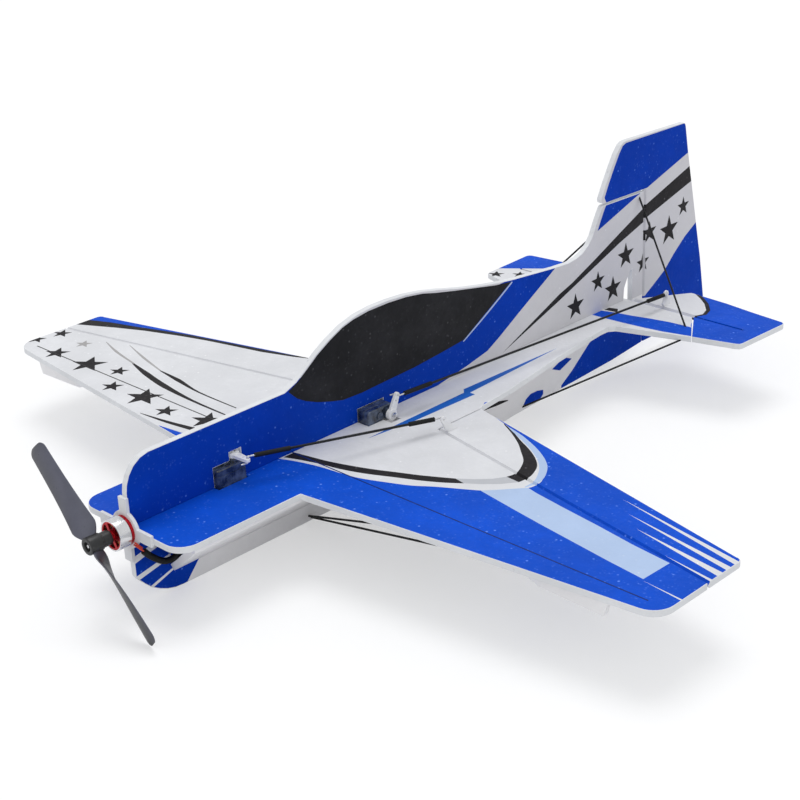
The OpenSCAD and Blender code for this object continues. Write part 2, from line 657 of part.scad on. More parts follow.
// Sleeves over the joints of rod and wire, 17 long at the start and 13 at the end
module rod_sleeves(start, end) {
  along = unit(end - start);
  inset = 3.6;
  for (ends = [[start + inset*along, start + (inset+17)*along],
               [end - (inset+13)*along, end - inset*along]])
    difference() {
      bar(ends[0], ends[1], rod_d/2+0.5);
      bar(ends[0]-along, ends[1]+along, rod_d/2+0.03);
    }
}

// Wire above the aileron arm, down through its hole; the far leg stops beside the horn
hinge_dir = [hinge_run[0], hinge_run[1], 0]/hinge_len;
horn_side = 1.9;   // bend to horn, along the hinge
ail_drop = arm_t + 1.75;
ail_start = [ail_axis[0], ail_arm, ail_face+arm_z+arm_t+0.95];
ail_end = [ail_horn_x, ail_horn_y, sheet_mid+ail_horn_h] - horn_side*hinge_dir;
module aileron_pushrod() pushrod(ail_start, ail_end,
  hook = [[3.2, -0.6, -ail_drop], [0, 0, -ail_drop]], tail = [(horn_side-0.75)*hinge_dir]);
module left_aileron_pushrod() color("black") aileron_pushrod();
module right_aileron_pushrod() color("black") mirror([0, 1, 0]) aileron_pushrod();
module left_aileron_rod_sleeves() color("black") rod_sleeves(ail_start, ail_end);
module right_aileron_rod_sleeves() color("black") mirror([0, 1, 0])
  rod_sleeves(ail_start, ail_end);

// Elevator and rudder: wires pass through the arm and the horn
tail_drop = arm_t + 1.55;
wire_rise = arm_z + arm_t + 0.75;   // wire above the servo's output face
elev_start = [elev_axis[0]+elev_arm[0], elev_face+wire_rise, elev_axis[1]+elev_arm[1]];
elev_end = [elevator_x+elev_arm[0], elev_horn_y+1.2, sheet_mid+elev_arm[1]];
module elevator_pushrod() color("black") pushrod(elev_start, elev_end,
  hook = [[3, -tail_drop, 0.4], [0, -tail_drop, 0]], tail = [[0, -2.4, 0], [-2.6, -2.4, 0]]);
module elevator_rod_sleeves() color("black") rod_sleeves(elev_start, elev_end);

rud_start = [rud_axis[0]+rud_arm[0], rud_axis[1]+rud_arm[1], rud_face+wire_rise];
rud_end = [rudder_x+rud_arm[0], rud_arm[1], rud_horn_z+1.2];
module rudder_pushrod() color("black") pushrod(rud_start, rud_end,
  hook = [[3, 0, -tail_drop], [0, 0, -tail_drop]], tail = [[0, 0, -2.4], [-2.6, 0, -2.4]]);
module rudder_rod_sleeves() color("black") rod_sleeves(rud_start, rud_end);

main_plate();
upper_fuselage();
lower_fuselage();
left_side_panel();
right_side_panel();
underwing_plates();
left_aileron();
right_aileron();
left_elevator();
right_elevator();
elevator_spar();
rudder();
wing_spar();
wing_braces();
tail_braces();
hinge_tapes();
motor_mount();
mount_screws();
motor_base();
stator_core();
stator_windings();
motor_bearings();
bell_spider();
flux_ring();
rotor_magnets();
motor_shaft();
prop_adapter();
propeller();
motor_wires();
motor_wire_sleeve();
speed_controller();
receiver();
battery();
battery_lead();
battery_pad();
servo_leads();
aileron_servo();
aileron_servo_shaft();
aileron_servo_arm();
aileron_arm_screw();
elevator_servo();
elevator_servo_shaft();
elevator_servo_arm();
elevator_arm_screw();
rudder_servo();
rudder_servo_shaft();
rudder_servo_arm();
rudder_arm_screw();
left_aileron_horn();
right_aileron_horn();
elevator_horn();
rudder_horn();
left_aileron_pushrod();
right_aileron_pushrod();
elevator_pushrod();
rudder_pushrod();
left_aileron_rod_sleeves();
right_aileron_rod_sleeves();
elevator_rod_sleeves();
rudder_rod_sleeves();
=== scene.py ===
"""Painted foam-sheet model aeroplane with its motor, propeller, servos and linkages.

The nose points along +X, the left wing along +Y and the fin along +Z.
CAD meshes are in metres. Outlines and sizes are in millimetres unless noted.
"""

import json
import math

import bpy
import bmesh
from mathutils import Vector, Matrix, geometry


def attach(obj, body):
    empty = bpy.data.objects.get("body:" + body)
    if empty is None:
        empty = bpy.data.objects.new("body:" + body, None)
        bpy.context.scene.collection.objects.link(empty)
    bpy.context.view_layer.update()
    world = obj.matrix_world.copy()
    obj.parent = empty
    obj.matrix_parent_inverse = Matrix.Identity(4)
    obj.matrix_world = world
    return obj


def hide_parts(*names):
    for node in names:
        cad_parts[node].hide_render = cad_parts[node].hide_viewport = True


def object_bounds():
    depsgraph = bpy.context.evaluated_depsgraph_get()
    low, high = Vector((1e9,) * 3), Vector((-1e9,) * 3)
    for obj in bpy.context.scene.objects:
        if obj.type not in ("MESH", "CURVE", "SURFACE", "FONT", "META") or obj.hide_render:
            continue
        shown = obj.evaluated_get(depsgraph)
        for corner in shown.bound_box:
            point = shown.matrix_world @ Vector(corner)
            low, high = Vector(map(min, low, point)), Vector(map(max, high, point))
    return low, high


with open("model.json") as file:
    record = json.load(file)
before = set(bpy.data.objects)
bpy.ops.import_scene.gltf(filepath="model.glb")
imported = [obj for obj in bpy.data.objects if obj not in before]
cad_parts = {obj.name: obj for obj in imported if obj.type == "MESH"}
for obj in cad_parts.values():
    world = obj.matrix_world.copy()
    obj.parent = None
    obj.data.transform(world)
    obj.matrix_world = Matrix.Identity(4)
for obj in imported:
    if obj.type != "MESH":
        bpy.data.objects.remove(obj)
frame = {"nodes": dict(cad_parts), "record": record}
CAD_BOX = [list(v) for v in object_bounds()]
NODES = frame["nodes"]
BODY = {node: body for body, nodes in frame["record"]["behaviour"]["bodies"].items()
        for node in nodes}

MM = 0.001
SHEET_TOP = 38.3     # top of the horizontal sheet
EDGE_RADIUS = 0.28   # softened cut edge of the foam
MATERIALS = {}


# ------------------------------------------------------------------ shader building
class Shader:
    """A material with a Principled surface, and short makers for the nodes that feed it."""

    def __init__(self, name):
        self.material = bpy.data.materials.new(name)
        self.material.use_nodes = True
        self.tree = self.material.node_tree
        self.tree.nodes.clear()
        output = self.node("OutputMaterial")
        self.principled = self.node("BsdfPrincipled")
        self.feed(output.inputs[0], self.principled.outputs[0])
        self.coords = self.node("TexCoord").outputs["Object"]

    def node(self, kind):
        return self.tree.nodes.new("ShaderNode" + kind)

    def feed(self, socket, value):
        """Links a socket, or sets a plain value; colours gain their alpha."""
        if isinstance(value, bpy.types.NodeSocket):
            self.tree.links.new(value, socket)
        elif isinstance(value, tuple):
            socket.default_value = (*value, 1)
        else:
            socket.default_value = value

    def surface(self, inputs):
        for name, value in inputs.items():
            self.feed(self.principled.inputs[name], value)

    def mix(self, factor, a, b):
        node = self.node("Mix")
        node.data_type = "RGBA"
        for index, value in ((0, factor), (6, a), (7, b)):   # 6 and 7 are the colour inputs
            self.feed(node.inputs[index], value)
        return node.outputs[2]

    def ramp(self, source, span, to=(0.0, 1.0)):
        node = self.node("MapRange")
        for index, value in enumerate((source, *span, *to)):
            self.feed(node.inputs[index], value)
        return node.outputs[0]

    def noise(self, scale, detail=2.0, rough=0.5):
        node = self.node("TexNoise")
        node.inputs["Scale"].default_value = scale
        node.inputs["Detail"].default_value = detail
        node.inputs["Roughness"].default_value = rough
        self.feed(node.inputs["Vector"], self.coords)
        return node.outputs[0]

    def voronoi(self, scale, feature="F1"):
        node = self.node("TexVoronoi")
        node.feature = feature
        node.inputs["Scale"].default_value = scale
        self.feed(node.inputs["Vector"], self.coords)
        return node.outputs

    def multiply(self, a, b):
        node = self.node("Math")
        node.operation = "MULTIPLY"
        self.feed(node.inputs[0], a)
        self.feed(node.inputs[1], b)
        return node.outputs[0]

    def bump(self, height, strength, distance, under=None):
        node = self.node("Bump")
        node.inputs["Strength"].default_value = strength
        node.inputs["Distance"].default_value = distance
        self.feed(node.inputs["Height"], height)
        if under is not None:
            self.feed(node.inputs["Normal"], under)
        return node.outputs[0]


def scaled(color, factor):
    return tuple(min(1, c * factor) for c in color)


# ------------------------------------------------------------------ materials
def foam(name, color, fleck, rough, flecks, variation, specular, grime=None):
    """Bead foam under a thin coat: bead skin, fine grain and pits where the coat missed."""
    s = Shader(name)
    beads = s.voronoi(scale=430.0)
    small_beads = s.voronoi(scale=610.0, feature="SMOOTH_F1")
    grain = s.noise(scale=2600.0, detail=3.0)
    blotches = s.noise(scale=34.0, detail=4.0)
    streaks = s.noise(scale=220.0, detail=3.0)
    patches = s.noise(scale=120.0, detail=5.0, rough=0.65)
    dark = scaled(color, 1 - 1.5 * variation)
    light = scaled(color, 1 + variation)
    base = s.mix(s.ramp(blotches, span=(0.3, 0.7)), dark, light)
    base = s.mix(s.ramp(beads["Color"], span=(0.0, 1.0), to=(0.0, 0.35)), base, dark)
    base = s.mix(s.ramp(patches, span=(0.46, 0.62), to=(0.0, 0.42)), base, dark)

    fleck_spots = s.ramp(s.voronoi(scale=620.0)["Distance"], span=(0.15, 0.42), to=(1.0, 0.0))
    fleck_areas = s.ramp(s.noise(scale=330.0, detail=4.0, rough=0.7), span=(0.50, 0.66),
                         to=(0.0, min(0.42, 0.40 * flecks)))
    base = s.mix(s.multiply(fleck_spots, fleck_areas), base, fleck)

    # pits: small dots in a random share of the cells, only where the streaks are strong
    cells = s.voronoi(scale=290.0)
    dots = s.ramp(cells["Distance"], span=(0.08, 0.20), to=(1.0, 0.0))
    cell_value = s.node("SeparateColor")
    s.feed(cell_value.inputs[0], cells["Color"])
    least = 1 - flecks * 0.45
    chosen = s.ramp(cell_value.outputs[0], span=(least, least + 0.02))
    pits = s.multiply(s.multiply(dots, chosen), s.ramp(streaks, span=(0.36, 0.56)))
    base = s.mix(pits, base, fleck)
    if grime is not None:
        stains = s.noise(scale=14.0, detail=5.0)
        base = s.mix(s.ramp(stains, span=(0.55, 0.8), to=(0.0, 0.25)), base, grime)

    normal = s.bump(beads["Distance"], strength=0.28, distance=0.00025)
    normal = s.bump(small_beads["Distance"], strength=0.15, distance=0.00016, under=normal)
    normal = s.bump(grain, strength=0.10, distance=0.0001, under=normal)
    normal = s.bump(pits, strength=0.25, distance=0.0001, under=normal)
    s.surface({
        "Base Color": base,
        "Roughness": s.ramp(streaks, span=(0.2, 0.8), to=(rough - 0.07, rough + 0.08)),
        "Specular IOR Level": specular,
        "Normal": normal,
    })
    return s.material


def hard(name, color, rough, metal=0.0, spec=0.5, variation=0.08, scale=900.0, bumps=0.05,
         aniso=0.0, coat=0.0, edge_on=None):
    """Plastic or metal with slight mottling; edge_on is its colour seen at a grazing angle, and
    the main colour, seen face on, then carries a painted sheen.
    """
    s = Shader(name)
    fine = s.noise(scale=scale, detail=4.0)
    broad = s.noise(scale=scale / 9, detail=3.0)
    base = s.mix(s.ramp(broad, span=(0.3, 0.7)),
                 scaled(color, 1 - variation), scaled(color, 1 + variation))
    if edge_on is not None:
        # face on the colour is lighter: a painted sheen of the bright surroundings
        facing = s.node("LayerWeight").outputs["Facing"]
        base = s.mix(s.ramp(facing, span=(0.22, 0.72)), base, edge_on)
    s.surface({
        "Base Color": base,
        "Roughness": s.ramp(fine, span=(0.25, 0.75), to=(max(0.03, rough - 0.08), rough + 0.08)),
        "Metallic": metal,
        "Specular IOR Level": spec,
        "Anisotropic": aniso,
        "Coat Weight": coat,
        "Normal": s.bump(fine, strength=bumps, distance=0.0001),
    })
    return s.material


def smoke_blue_shell():
    """Smoke blue moulding with a hint of dark shapes inside."""
    s = Shader("smoke_blue_shell")
    deep = s.noise(scale=190.0, detail=4.0, rough=0.6)
    fine = s.noise(scale=1600.0, detail=2.0)
    inner = s.voronoi(scale=260.0)["Distance"]
    base = s.mix(s.ramp(deep, span=(0.38, 0.62)), (0.010, 0.016, 0.030), (0.085, 0.115, 0.185))
    base = s.mix(s.ramp(inner, span=(0.0, 0.55), to=(0.55, 0.0)), base, (0.012, 0.016, 0.026))
    s.surface({
        "Base Color": base,
        "Roughness": s.ramp(fine, span=(0.2, 0.8), to=(0.16, 0.30)),
        "Specular IOR Level": 0.6,
        "Coat Weight": 0.4,
        "Coat Roughness": 0.12,
        "Normal": s.bump(fine, strength=0.06, distance=0.0001),
    })
    return s.material


# key, name, colour, fleck colour, roughness, fleck amount, colour variation, specular, grime
# (blue_deep and warm are spare coats; keys also set the slot order on the sheets)
FOAMS = [
    ("blue_top", "blue_coat_flat", (0.0005, 0.080, 0.63), (0.13, 0.28, 0.86),
     0.58, 0.9, 0.10, 0.12),
    # blue on the upright sheets: the same paint as the flat blue, darkened as painted shade
    ("blue_side", "blue_coat_upright", (0.0004, 0.043, 0.43), (0.08, 0.19, 0.66),
     0.65, 0.8, 0.08, 0.06),
    ("blue_deep", "blue_coat_under", (0.002, 0.020, 0.24), (0.03, 0.09, 0.40),
     0.55, 0.4, 0.06, 0.2),
    ("white", "white_foam", (0.755, 0.76, 0.785), (0.88, 0.88, 0.90),
     0.6, 0.7, 0.055, 0.25, (0.64, 0.64, 0.67)),
    # white foam on the upright sheets: the flat white darkened as painted shade
    ("white_up", "white_foam_upright", (0.66, 0.65, 0.675), (0.76, 0.76, 0.78),
     0.6, 0.5, 0.03, 0.2, (0.58, 0.575, 0.59)),
    # white foam on the low pieces: the flat white lightened as painted light
    ("white_low", "white_foam_low", (0.86, 0.85, 0.86), (0.93, 0.93, 0.94),
     0.6, 0.5, 0.03, 0.2, (0.76, 0.75, 0.76)),
    ("edge", "cut_foam_edge", (0.78, 0.79, 0.81), (0.62, 0.63, 0.66), 0.7, 0.9, 0.06, 0.2),
    ("warm", "warm_white_foam", (0.69, 0.675, 0.67), (0.78, 0.77, 0.77),
     0.6, 0.5, 0.02, 0.28, (0.60, 0.58, 0.57)),
    ("black", "charcoal_coat", (0.020, 0.020, 0.0225), (0.055, 0.055, 0.058),
     0.6, 1.3, 0.35, 0.12),
    ("star", "charcoal_star", (0.020, 0.018, 0.020), (0.10, 0.095, 0.10), 0.6, 0.9, 0.2, 0.15),
    ("faint", "faint_grey_coat", (0.40, 0.39, 0.39), (0.5, 0.5, 0.5), 0.6, 0.4, 0.06, 0.25),
    ("light_blue", "pale_blue_coat", (0.45, 0.58, 0.82), (0.62, 0.70, 0.86),
     0.5, 0.7, 0.04, 0.3),
    # pale blue on the upright sheets: the flat pale blue darkened as painted shade
    ("light_blue_up", "pale_blue_upright", (0.42, 0.52, 0.74), (0.6, 0.68, 0.84),
     0.5, 0.5, 0.03, 0.3),
    ("light_grey", "pale_grey_coat", (0.52, 0.53, 0.56), (0.62, 0.63, 0.66),
     0.55, 0.5, 0.03, 0.3),
    ("sky", "bright_blue_coat", (0.008, 0.12, 0.52), (0.12, 0.28, 0.70), 0.5, 0.6, 0.06, 0.3),
]
for key, *look in FOAMS:
    MATERIALS[key] = foam(*look)

# key, name, colour, roughness, other settings of hard()
HARDS = [
    ("nylon", "white_nylon", (0.86, 0.86, 0.87), 0.42, dict(variation=0.03)),
    ("mount", "mount_nylon", (0.74, 0.75, 0.77), 0.5, dict(spec=0.4, variation=0.04, bumps=0.12)),
    ("steel", "bright_steel", (0.62, 0.62, 0.63), 0.25,
     dict(metal=1.0, variation=0.06, scale=1800, bumps=0.04)),
    ("wire", "plated_wire", (0.72, 0.72, 0.72), 0.28, dict(metal=0.9, scale=2400)),
    ("red", "red_anodised", (0.52, 0.012, 0.022), 0.3,
     dict(metal=0.75, variation=0.12, scale=2000, bumps=0.06)),
    ("silver", "turned_aluminium", (0.80, 0.80, 0.81), 0.22,
     dict(metal=0.95, variation=0.05, scale=2400, aniso=0.5)),
    ("lamination", "stator_lamination", (0.03, 0.03, 0.033), 0.5,
     dict(variation=0.2, scale=3000, bumps=0.2)),
    ("copper", "enamelled_copper", (0.55, 0.20, 0.06), 0.3,
     dict(metal=0.8, variation=0.2, scale=3500, bumps=0.3)),
    ("magnet", "nickel_magnet", (0.5, 0.5, 0.5), 0.3,
     dict(metal=1.0, variation=0.1, scale=2500)),
    ("moulding", "black_moulding", (0.016, 0.016, 0.017), 0.38,
     dict(variation=0.25, scale=1500, bumps=0.08)),
    # propeller: the lighter bluish face-on colour is a painted sheen, the dark edge-on colour its
    # own
    ("prop", "propeller_nylon_painted_sheen", (0.082, 0.084, 0.118), 0.34,
     dict(spec=0.7, variation=0.12, scale=1200, bumps=0.07, edge_on=(0.026, 0.026, 0.028))),
    ("rod", "carbon_rod", (0.008, 0.008, 0.009), 0.45,
     dict(spec=0.3, variation=0.4, scale=2600, bumps=0.12)),
    ("rod_blue", "painted_strip", (0.0005, 0.018, 0.15), 0.5,
     dict(spec=0.2, variation=0.4, scale=2600, bumps=0.12)),
    ("shrink", "shrink_tube", (0.006, 0.006, 0.006), 0.6,
     dict(spec=0.25, variation=0.4, scale=1100, bumps=0.18)),
    ("insulation", "red_insulation", (0.60, 0.045, 0.012), 0.5,
     dict(variation=0.15, scale=1500, bumps=0.08)),
    ("red_lead", "red_lead", (0.45, 0.01, 0.01), 0.5, dict(variation=0.12, scale=1500)),
    ("black_lead", "black_lead", (0.012, 0.012, 0.012), 0.5, dict(variation=0.2, scale=1500)),
    ("ribbon", "servo_ribbon", (0.16, 0.05, 0.02), 0.5,
     dict(variation=0.25, scale=1700, bumps=0.15)),
    ("board", "circuit_board", (0.01, 0.06, 0.04), 0.35,
     dict(variation=0.5, scale=1400, bumps=0.25, coat=0.5)),
    ("wrap", "battery_film", (0.03, 0.06, 0.13), 0.25,
     dict(variation=0.2, scale=500, bumps=0.1, coat=0.3)),
    ("pad", "hook_pad", (0.02, 0.02, 0.02), 0.9, dict(variation=0.4, scale=4000, bumps=0.9)),
    ("tape", "hinge_tape", (0.68, 0.69, 0.71), 0.3,
     dict(variation=0.05, scale=2500, bumps=0.2)),
]
for key, name, color, rough, settings in HARDS:
    MATERIALS[key] = hard(name, color, rough, **settings)
MATERIALS["shell"] = smoke_blue_shell()


# ------------------------------------------------------------------ plane geometry
def turn(a, b, c):
    """Twice the signed area of a triangle."""
    return (b[0] - a[0]) * (c[1] - a[1]) - (b[1] - a[1]) * (c[0] - a[0])


def signed_area(outline):
    return 0.5 * sum(p[0] * q[1] - q[0] * p[1]
                     for p, q in zip(outline, outline[1:] + outline[:1]))


def extent(outline):
    xs, ys = [p[0] for p in outline], [p[1] for p in outline]
    return min(xs), max(xs), min(ys), max(ys)


def inside(point, outline):
    x, y = point
    within = False
    for i, (xi, yi) in enumerate(outline):
        xj, yj = outline[i - 1]
        if (yi > y) != (yj > y) and x < (xj - xi) * (y - yi) / (yj - yi) + xi:
            within = not within
    return within


def offset(outline, distance):
    """Moves a closed outline to its left, which is into the material."""
    moved = []
    for i, corner in enumerate(outline):
        a, b, c = Vector(outline[i - 1]), Vector(corner), Vector(outline[(i + 1) % len(outline)])
        before, after = b - a, c - b
        if before.length < 1e-9 or after.length < 1e-9:
            moved.append(tuple(b))
            continue
        n1 = Vector((-before.y, before.x)).normalized()
        n2 = Vector((-after.y, after.x)).normalized()
        miter = (n1 + n2) / max(1 + n1.dot(n2), 0.35)   # 0.35 limits sharp corners
        moved.append(tuple(b + miter * distance))
    return moved


def boundary_loops(triangles):
    """Chains the directed edges that only one triangle uses into loops of point numbers."""
    used = {}
    for a, b, c in triangles:
        for side in ((a, b), (b, c), (c, a)):
            used[side] = True
    following = {}
    for a, b in used:
        if (b, a) not in used:
            following.setdefault(a, []).append(b)
    loops = []
    while following:
        first = current = next(iter(following))
        loop = [first]
        while True:
            step = following[current].pop()
            if not following[current]:
                del following[current]
            if step == first or step not in following:
                break
            loop.append(step)
            current = step
        loops.append(loop)
    return loops


def face_outlines(node, axis):
    """Outlines of a CAD node's flat face on the positive side of an axis, largest first."""
    mesh = NODES[node].data
    mesh.calc_loop_triangles()
    places = [v.co / MM for v in mesh.vertices]
    level = max(p[axis] for p in places)
    u, v = [i for i in range(3) if i != axis]
    ids, points, triangles = {}, [], []

    def point_id(place):
        """Number of the point here, shared with any point a rounding step away."""
        spot = (round(place[u], 2), round(place[v], 2))
        for dx in (0, 0.01, -0.01):
            for dy in (0, 0.01, -0.01):
                near = (round(spot[0] + dx, 2), round(spot[1] + dy, 2))
                if near in ids:
                    return ids[near]
        ids[spot] = len(points)
        points.append((place[u], place[v]))
        return ids[spot]

    for triangle in mesh.loop_triangles:
        corners = [places[i] for i in triangle.vertices]
        normal = (corners[1] - corners[0]).cross(corners[2] - corners[0])
        if normal.length < 1e-7 or normal.normalized()[axis] < 0.98:
            continue
        if any(abs(c[axis] - level) > 0.02 for c in corners):
            continue
        numbers = [point_id(c) for c in corners]
        if len(set(numbers)) < 3:
            continue
        if turn(*(points[i] for i in numbers)) < 0:
            numbers.reverse()
        triangles.append(numbers)

    outlines = []
    for loop in boundary_loops(triangles):
        raw = [points[i] for i in loop]
        length = sum(math.dist(p, q) for p, q in zip(raw, raw[1:] + raw[:1]))
        if length < 9.0 or len(raw) < 3:
            continue
        clean = []
        for p in raw:
            if not clean or math.dist(p, clean[-1]) > 0.06:
                clean.append(p)
        while len(clean) > 3 and math.dist(clean[0], clean[-1]) < 0.06:
            clean.pop()
        x0, x1, y0, y1 = extent(clean)
        if y1 - y0 > 300 and x1 - x0 < 3:   # a long thin slit is left filled
            continue
        outlines.append(clean)
    outlines.sort(key=lambda outline: -abs(signed_area(outline)))
    return outlines


# ------------------------------------------------------------------ foam sheets
PAINT_REACH = 3      # paint further than this from a sheet is skipped


def triangulate(outlines, paint):
    """Points, and (triangle, centre) pairs inside the first outline and outside the others."""
    given, edges = [], []

    def add(outline):
        start, count = len(given), len(outline)
        given.extend(Vector(p) for p in outline)
        edges.extend((start + i, start + (i + 1) % count) for i in range(count))

    for outline in outlines:
        add(outline)
    x0, x1, y0, y1 = extent(outlines[0])
    for outline, _ in paint:
        left, right, low, high = extent(outline)
        if (right >= x0 - PAINT_REACH and left <= x1 + PAINT_REACH
                and high >= y0 - PAINT_REACH and low <= y1 + PAINT_REACH):
            add(outline)
    points, _, faces, *_ = geometry.delaunay_2d_cdt(given, edges, [], 0, 1e-4, False)
    kept = []
    for face in faces:
        centre = (sum(points[i][0] for i in face) / 3, sum(points[i][1] for i in face) / 3)
        if abs(turn(*(points[i] for i in face))) < 1e-7:
            continue
        if inside(centre, outlines[0]) and not any(inside(centre, o) for o in outlines[1:]):
            kept.append((face, centre))
    return points, kept


def coat_at(point, coat):
    """Key of the last painted area over a point, or of the base; coat = (paint, base)."""
    paint, key = coat
    for outline, area_key in paint:
        if inside(point, outline):
            key = area_key
    return key


def add_object(name, mesh):
    piece = bpy.data.objects.new(name, mesh)
    bpy.context.scene.collection.objects.link(piece)
    return piece


def sheet(name, node, axis, body, front, back, hinge=None, coated=None):
    """A foam sheet cut from the CAD node's outline, with its paint cut into both faces.

    axis is the sheet's normal; front and back are the coats of its positive and negative
    faces. hinge = (point, outward normal, setback, depth of the V edge). coated tells where
    the cut edge takes the paint beside it.
    """
    outlines = [offset(o if (signed_area(o) > 0) == (i == 0) else o[::-1], EDGE_RADIUS)
                for i, o in enumerate(face_outlines(node, axis))]
    levels = [v.co[axis] / MM for v in NODES[node].data.vertices]
    middle, half = (max(levels) + min(levels)) / 2, (max(levels) - min(levels)) / 2
    paint = front[0] + back[0]
    points, kept = triangulate(outlines, paint)

    keys = sorted({key for _, key in paint} | {front[1], back[1], "edge"})
    mesh = bpy.data.meshes.new(name)
    for key in keys:
        mesh.materials.append(MATERIALS[key])
    bm = bmesh.new()
    u, v = [i for i in range(3) if i != axis]

    def add_vert(point, height):
        place = [0, 0, 0]
        place[u], place[v], place[axis] = point[0] * MM, point[1] * MM, (middle + height) * MM
        return bm.verts.new(place)

    def add_face(verts, key):
        if axis == 1:   # X and Z run left-handed about Y
            verts = verts[::-1]
        bm.faces.new(verts).material_index = keys.index(key)

    needed = set(i for face, _ in kept for i in face)
    top = {i: add_vert(points[i], half) for i in needed}
    bottom = {i: add_vert(points[i], -half) for i in needed}
    triangles = []
    for face, centre in kept:
        triangle = face if turn(*(points[i] for i in face)) > 0 else face[::-1]
        triangles.append(triangle)
        add_face([top[i] for i in triangle], coat_at(centre, front))
        add_face([bottom[i] for i in reversed(triangle)], coat_at(centre, back))

    # rounded rim as (distance outward, height)
    rounding = [(EDGE_RADIUS * math.sin(math.radians(angle)),
                 half - EDGE_RADIUS + EDGE_RADIUS * math.cos(math.radians(angle)))
                for angle in (30, 60, 90)]
    for loop in boundary_loops(triangles):
        outline = [tuple(points[i]) for i in loop]
        hole = signed_area(outline) < 0
        rings = [[top[i] for i in loop]]
        rings += [[add_vert(p, z) for p in offset(outline, -out)] for out, z in rounding]
        on_hinge = [False] * len(outline)
        if hinge is not None:
            origin, normal, setback, depth = hinge
            ridge = []
            for i, (x, y) in enumerate(offset(outline, -EDGE_RADIUS)):
                beyond = (x - origin[0]) * normal[0] + (y - origin[1]) * normal[1]
                on_hinge[i] = abs(beyond + setback) < 0.3
                if on_hinge[i]:
                    x, y = x + depth * normal[0], y + depth * normal[1]
                ridge.append((x, y))
            rings.append([add_vert(p, 0) for p in ridge])
        rings += [[add_vert(p, -z) for p in offset(outline, -out)] for out, z in rounding[::-1]]
        rings.append([bottom[i] for i in loop])
        for number, (upper, lower) in enumerate(zip(rings, rings[1:])):
            coat = front if number < len(rings) // 2 else back
            for i in range(len(loop)):
                j = (i + 1) % len(loop)
                x, y = ((outline[i][k] + outline[j][k]) / 2 for k in (0, 1))
                key = "edge"
                if on_hinge[i] and on_hinge[j]:
                    key = coat_at((x - normal[0], y - normal[1]), coat)
                elif hole or (coated is not None and coated(x, y)):
                    key = coat_at((x, y), coat)
                try:
                    add_face([upper[i], lower[i], lower[j], upper[j]], key)
                except ValueError:
                    pass   # guards against a rim face that already exists
    bmesh.ops.remove_doubles(bm, verts=bm.verts, dist=1e-7)
    bm.to_mesh(mesh)
    bm.free()
    piece = add_object(name, mesh)
    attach(piece, body)
    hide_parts(node)
    return piece


# ------------------------------------------------------------------ artwork shapes
ARTWORK_LIFT = 1.3       # raises the side artwork onto the sheet
SIDE_STAR_SCALE = 1.1
TOP_STAR_SCALE = 1.13
STAR_WAIST = 0.40        # inner radius over outer radius


def raised(outline):
    return [(x, z + ARTWORK_LIFT) for x, z in outline]


def star(x, y, radius, heading=90.0):
    """Five-pointed star; heading is the angle of its first point in degrees."""
    points = []
    for i in range(10):
        reach = radius if i % 2 == 0 else radius * STAR_WAIST
        angle = math.radians(heading + 36 * i)
        points.append((x + reach * math.cos(angle), y + reach * math.sin(angle)))
    return points


def curve(points, steps):
    """Smooth open curve through points, with this many steps in each span."""
    smooth = []
    for i in range(len(points) - 1):
        a, b, c = points[max(i - 1, 0)], points[i], points[i + 1]
        d = points[min(i + 2, len(points) - 1)]
        for j in range(steps):
            t = j / steps
            smooth.append(tuple(
                0.5 * (2 * b[k] + (c[k] - a[k]) * t
                       + (2 * a[k] - 5 * b[k] + 4 * c[k] - d[k]) * t * t
                       + (3 * b[k] - a[k] - 3 * c[k] + d[k]) * t ** 3) for k in (0, 1)))
    smooth.append(tuple(points[-1]))
    return smooth


def stroke(points, widths, steps=4):
    """Closed tapering band along a smooth curve, with a width at each point."""
    line = curve(points, steps)
    spread = [a + (b - a) * j / steps for a, b in zip(widths, widths[1:]) for j in range(steps)]
    spread.append(widths[-1])
    left, right = [], []
    for i, point in enumerate(line):
        before, after = Vector(line[max(i - 1, 0)]), Vector(line[min(i + 1, len(line) - 1)])
        along = (after - before).normalized()
        side = Vector((-along.y, along.x)) * spread[i] / 2
        left.append(tuple(Vector(point) + side))
        right.append(tuple(Vector(point) - side))
    return left + right[::-1]


def crescent(outer, inner):
    return curve(outer, 3) + curve(inner[::-1], 3)


def mirror(paint):
    return [([(x, -y) for x, y in outline], key) for outline, key in paint]


# ------------------------------------------------------------------ side artwork, (x, z)
CANOPY = raised([
    (0, 67), (-5, 62), (-10, 59), (-17, 56), (-25, 53.5), (-33, 51.5), (-45, 51), (-60, 51.5),
    (-80, 52), (-100, 53.5), (-116, 55), (-152, 75), (-140, 76.5), (-130, 78.5), (-120, 80.5),
    (-110, 82.5), (-97, 85.3), (-88, 87.6), (-77, 89.2), (-65, 89.9), (-52, 89.8), (-42, 88.6),
    (-35, 86.8), (-27, 83.2), (-19, 78.8), (-12, 73.9), (-6, 69.9)])
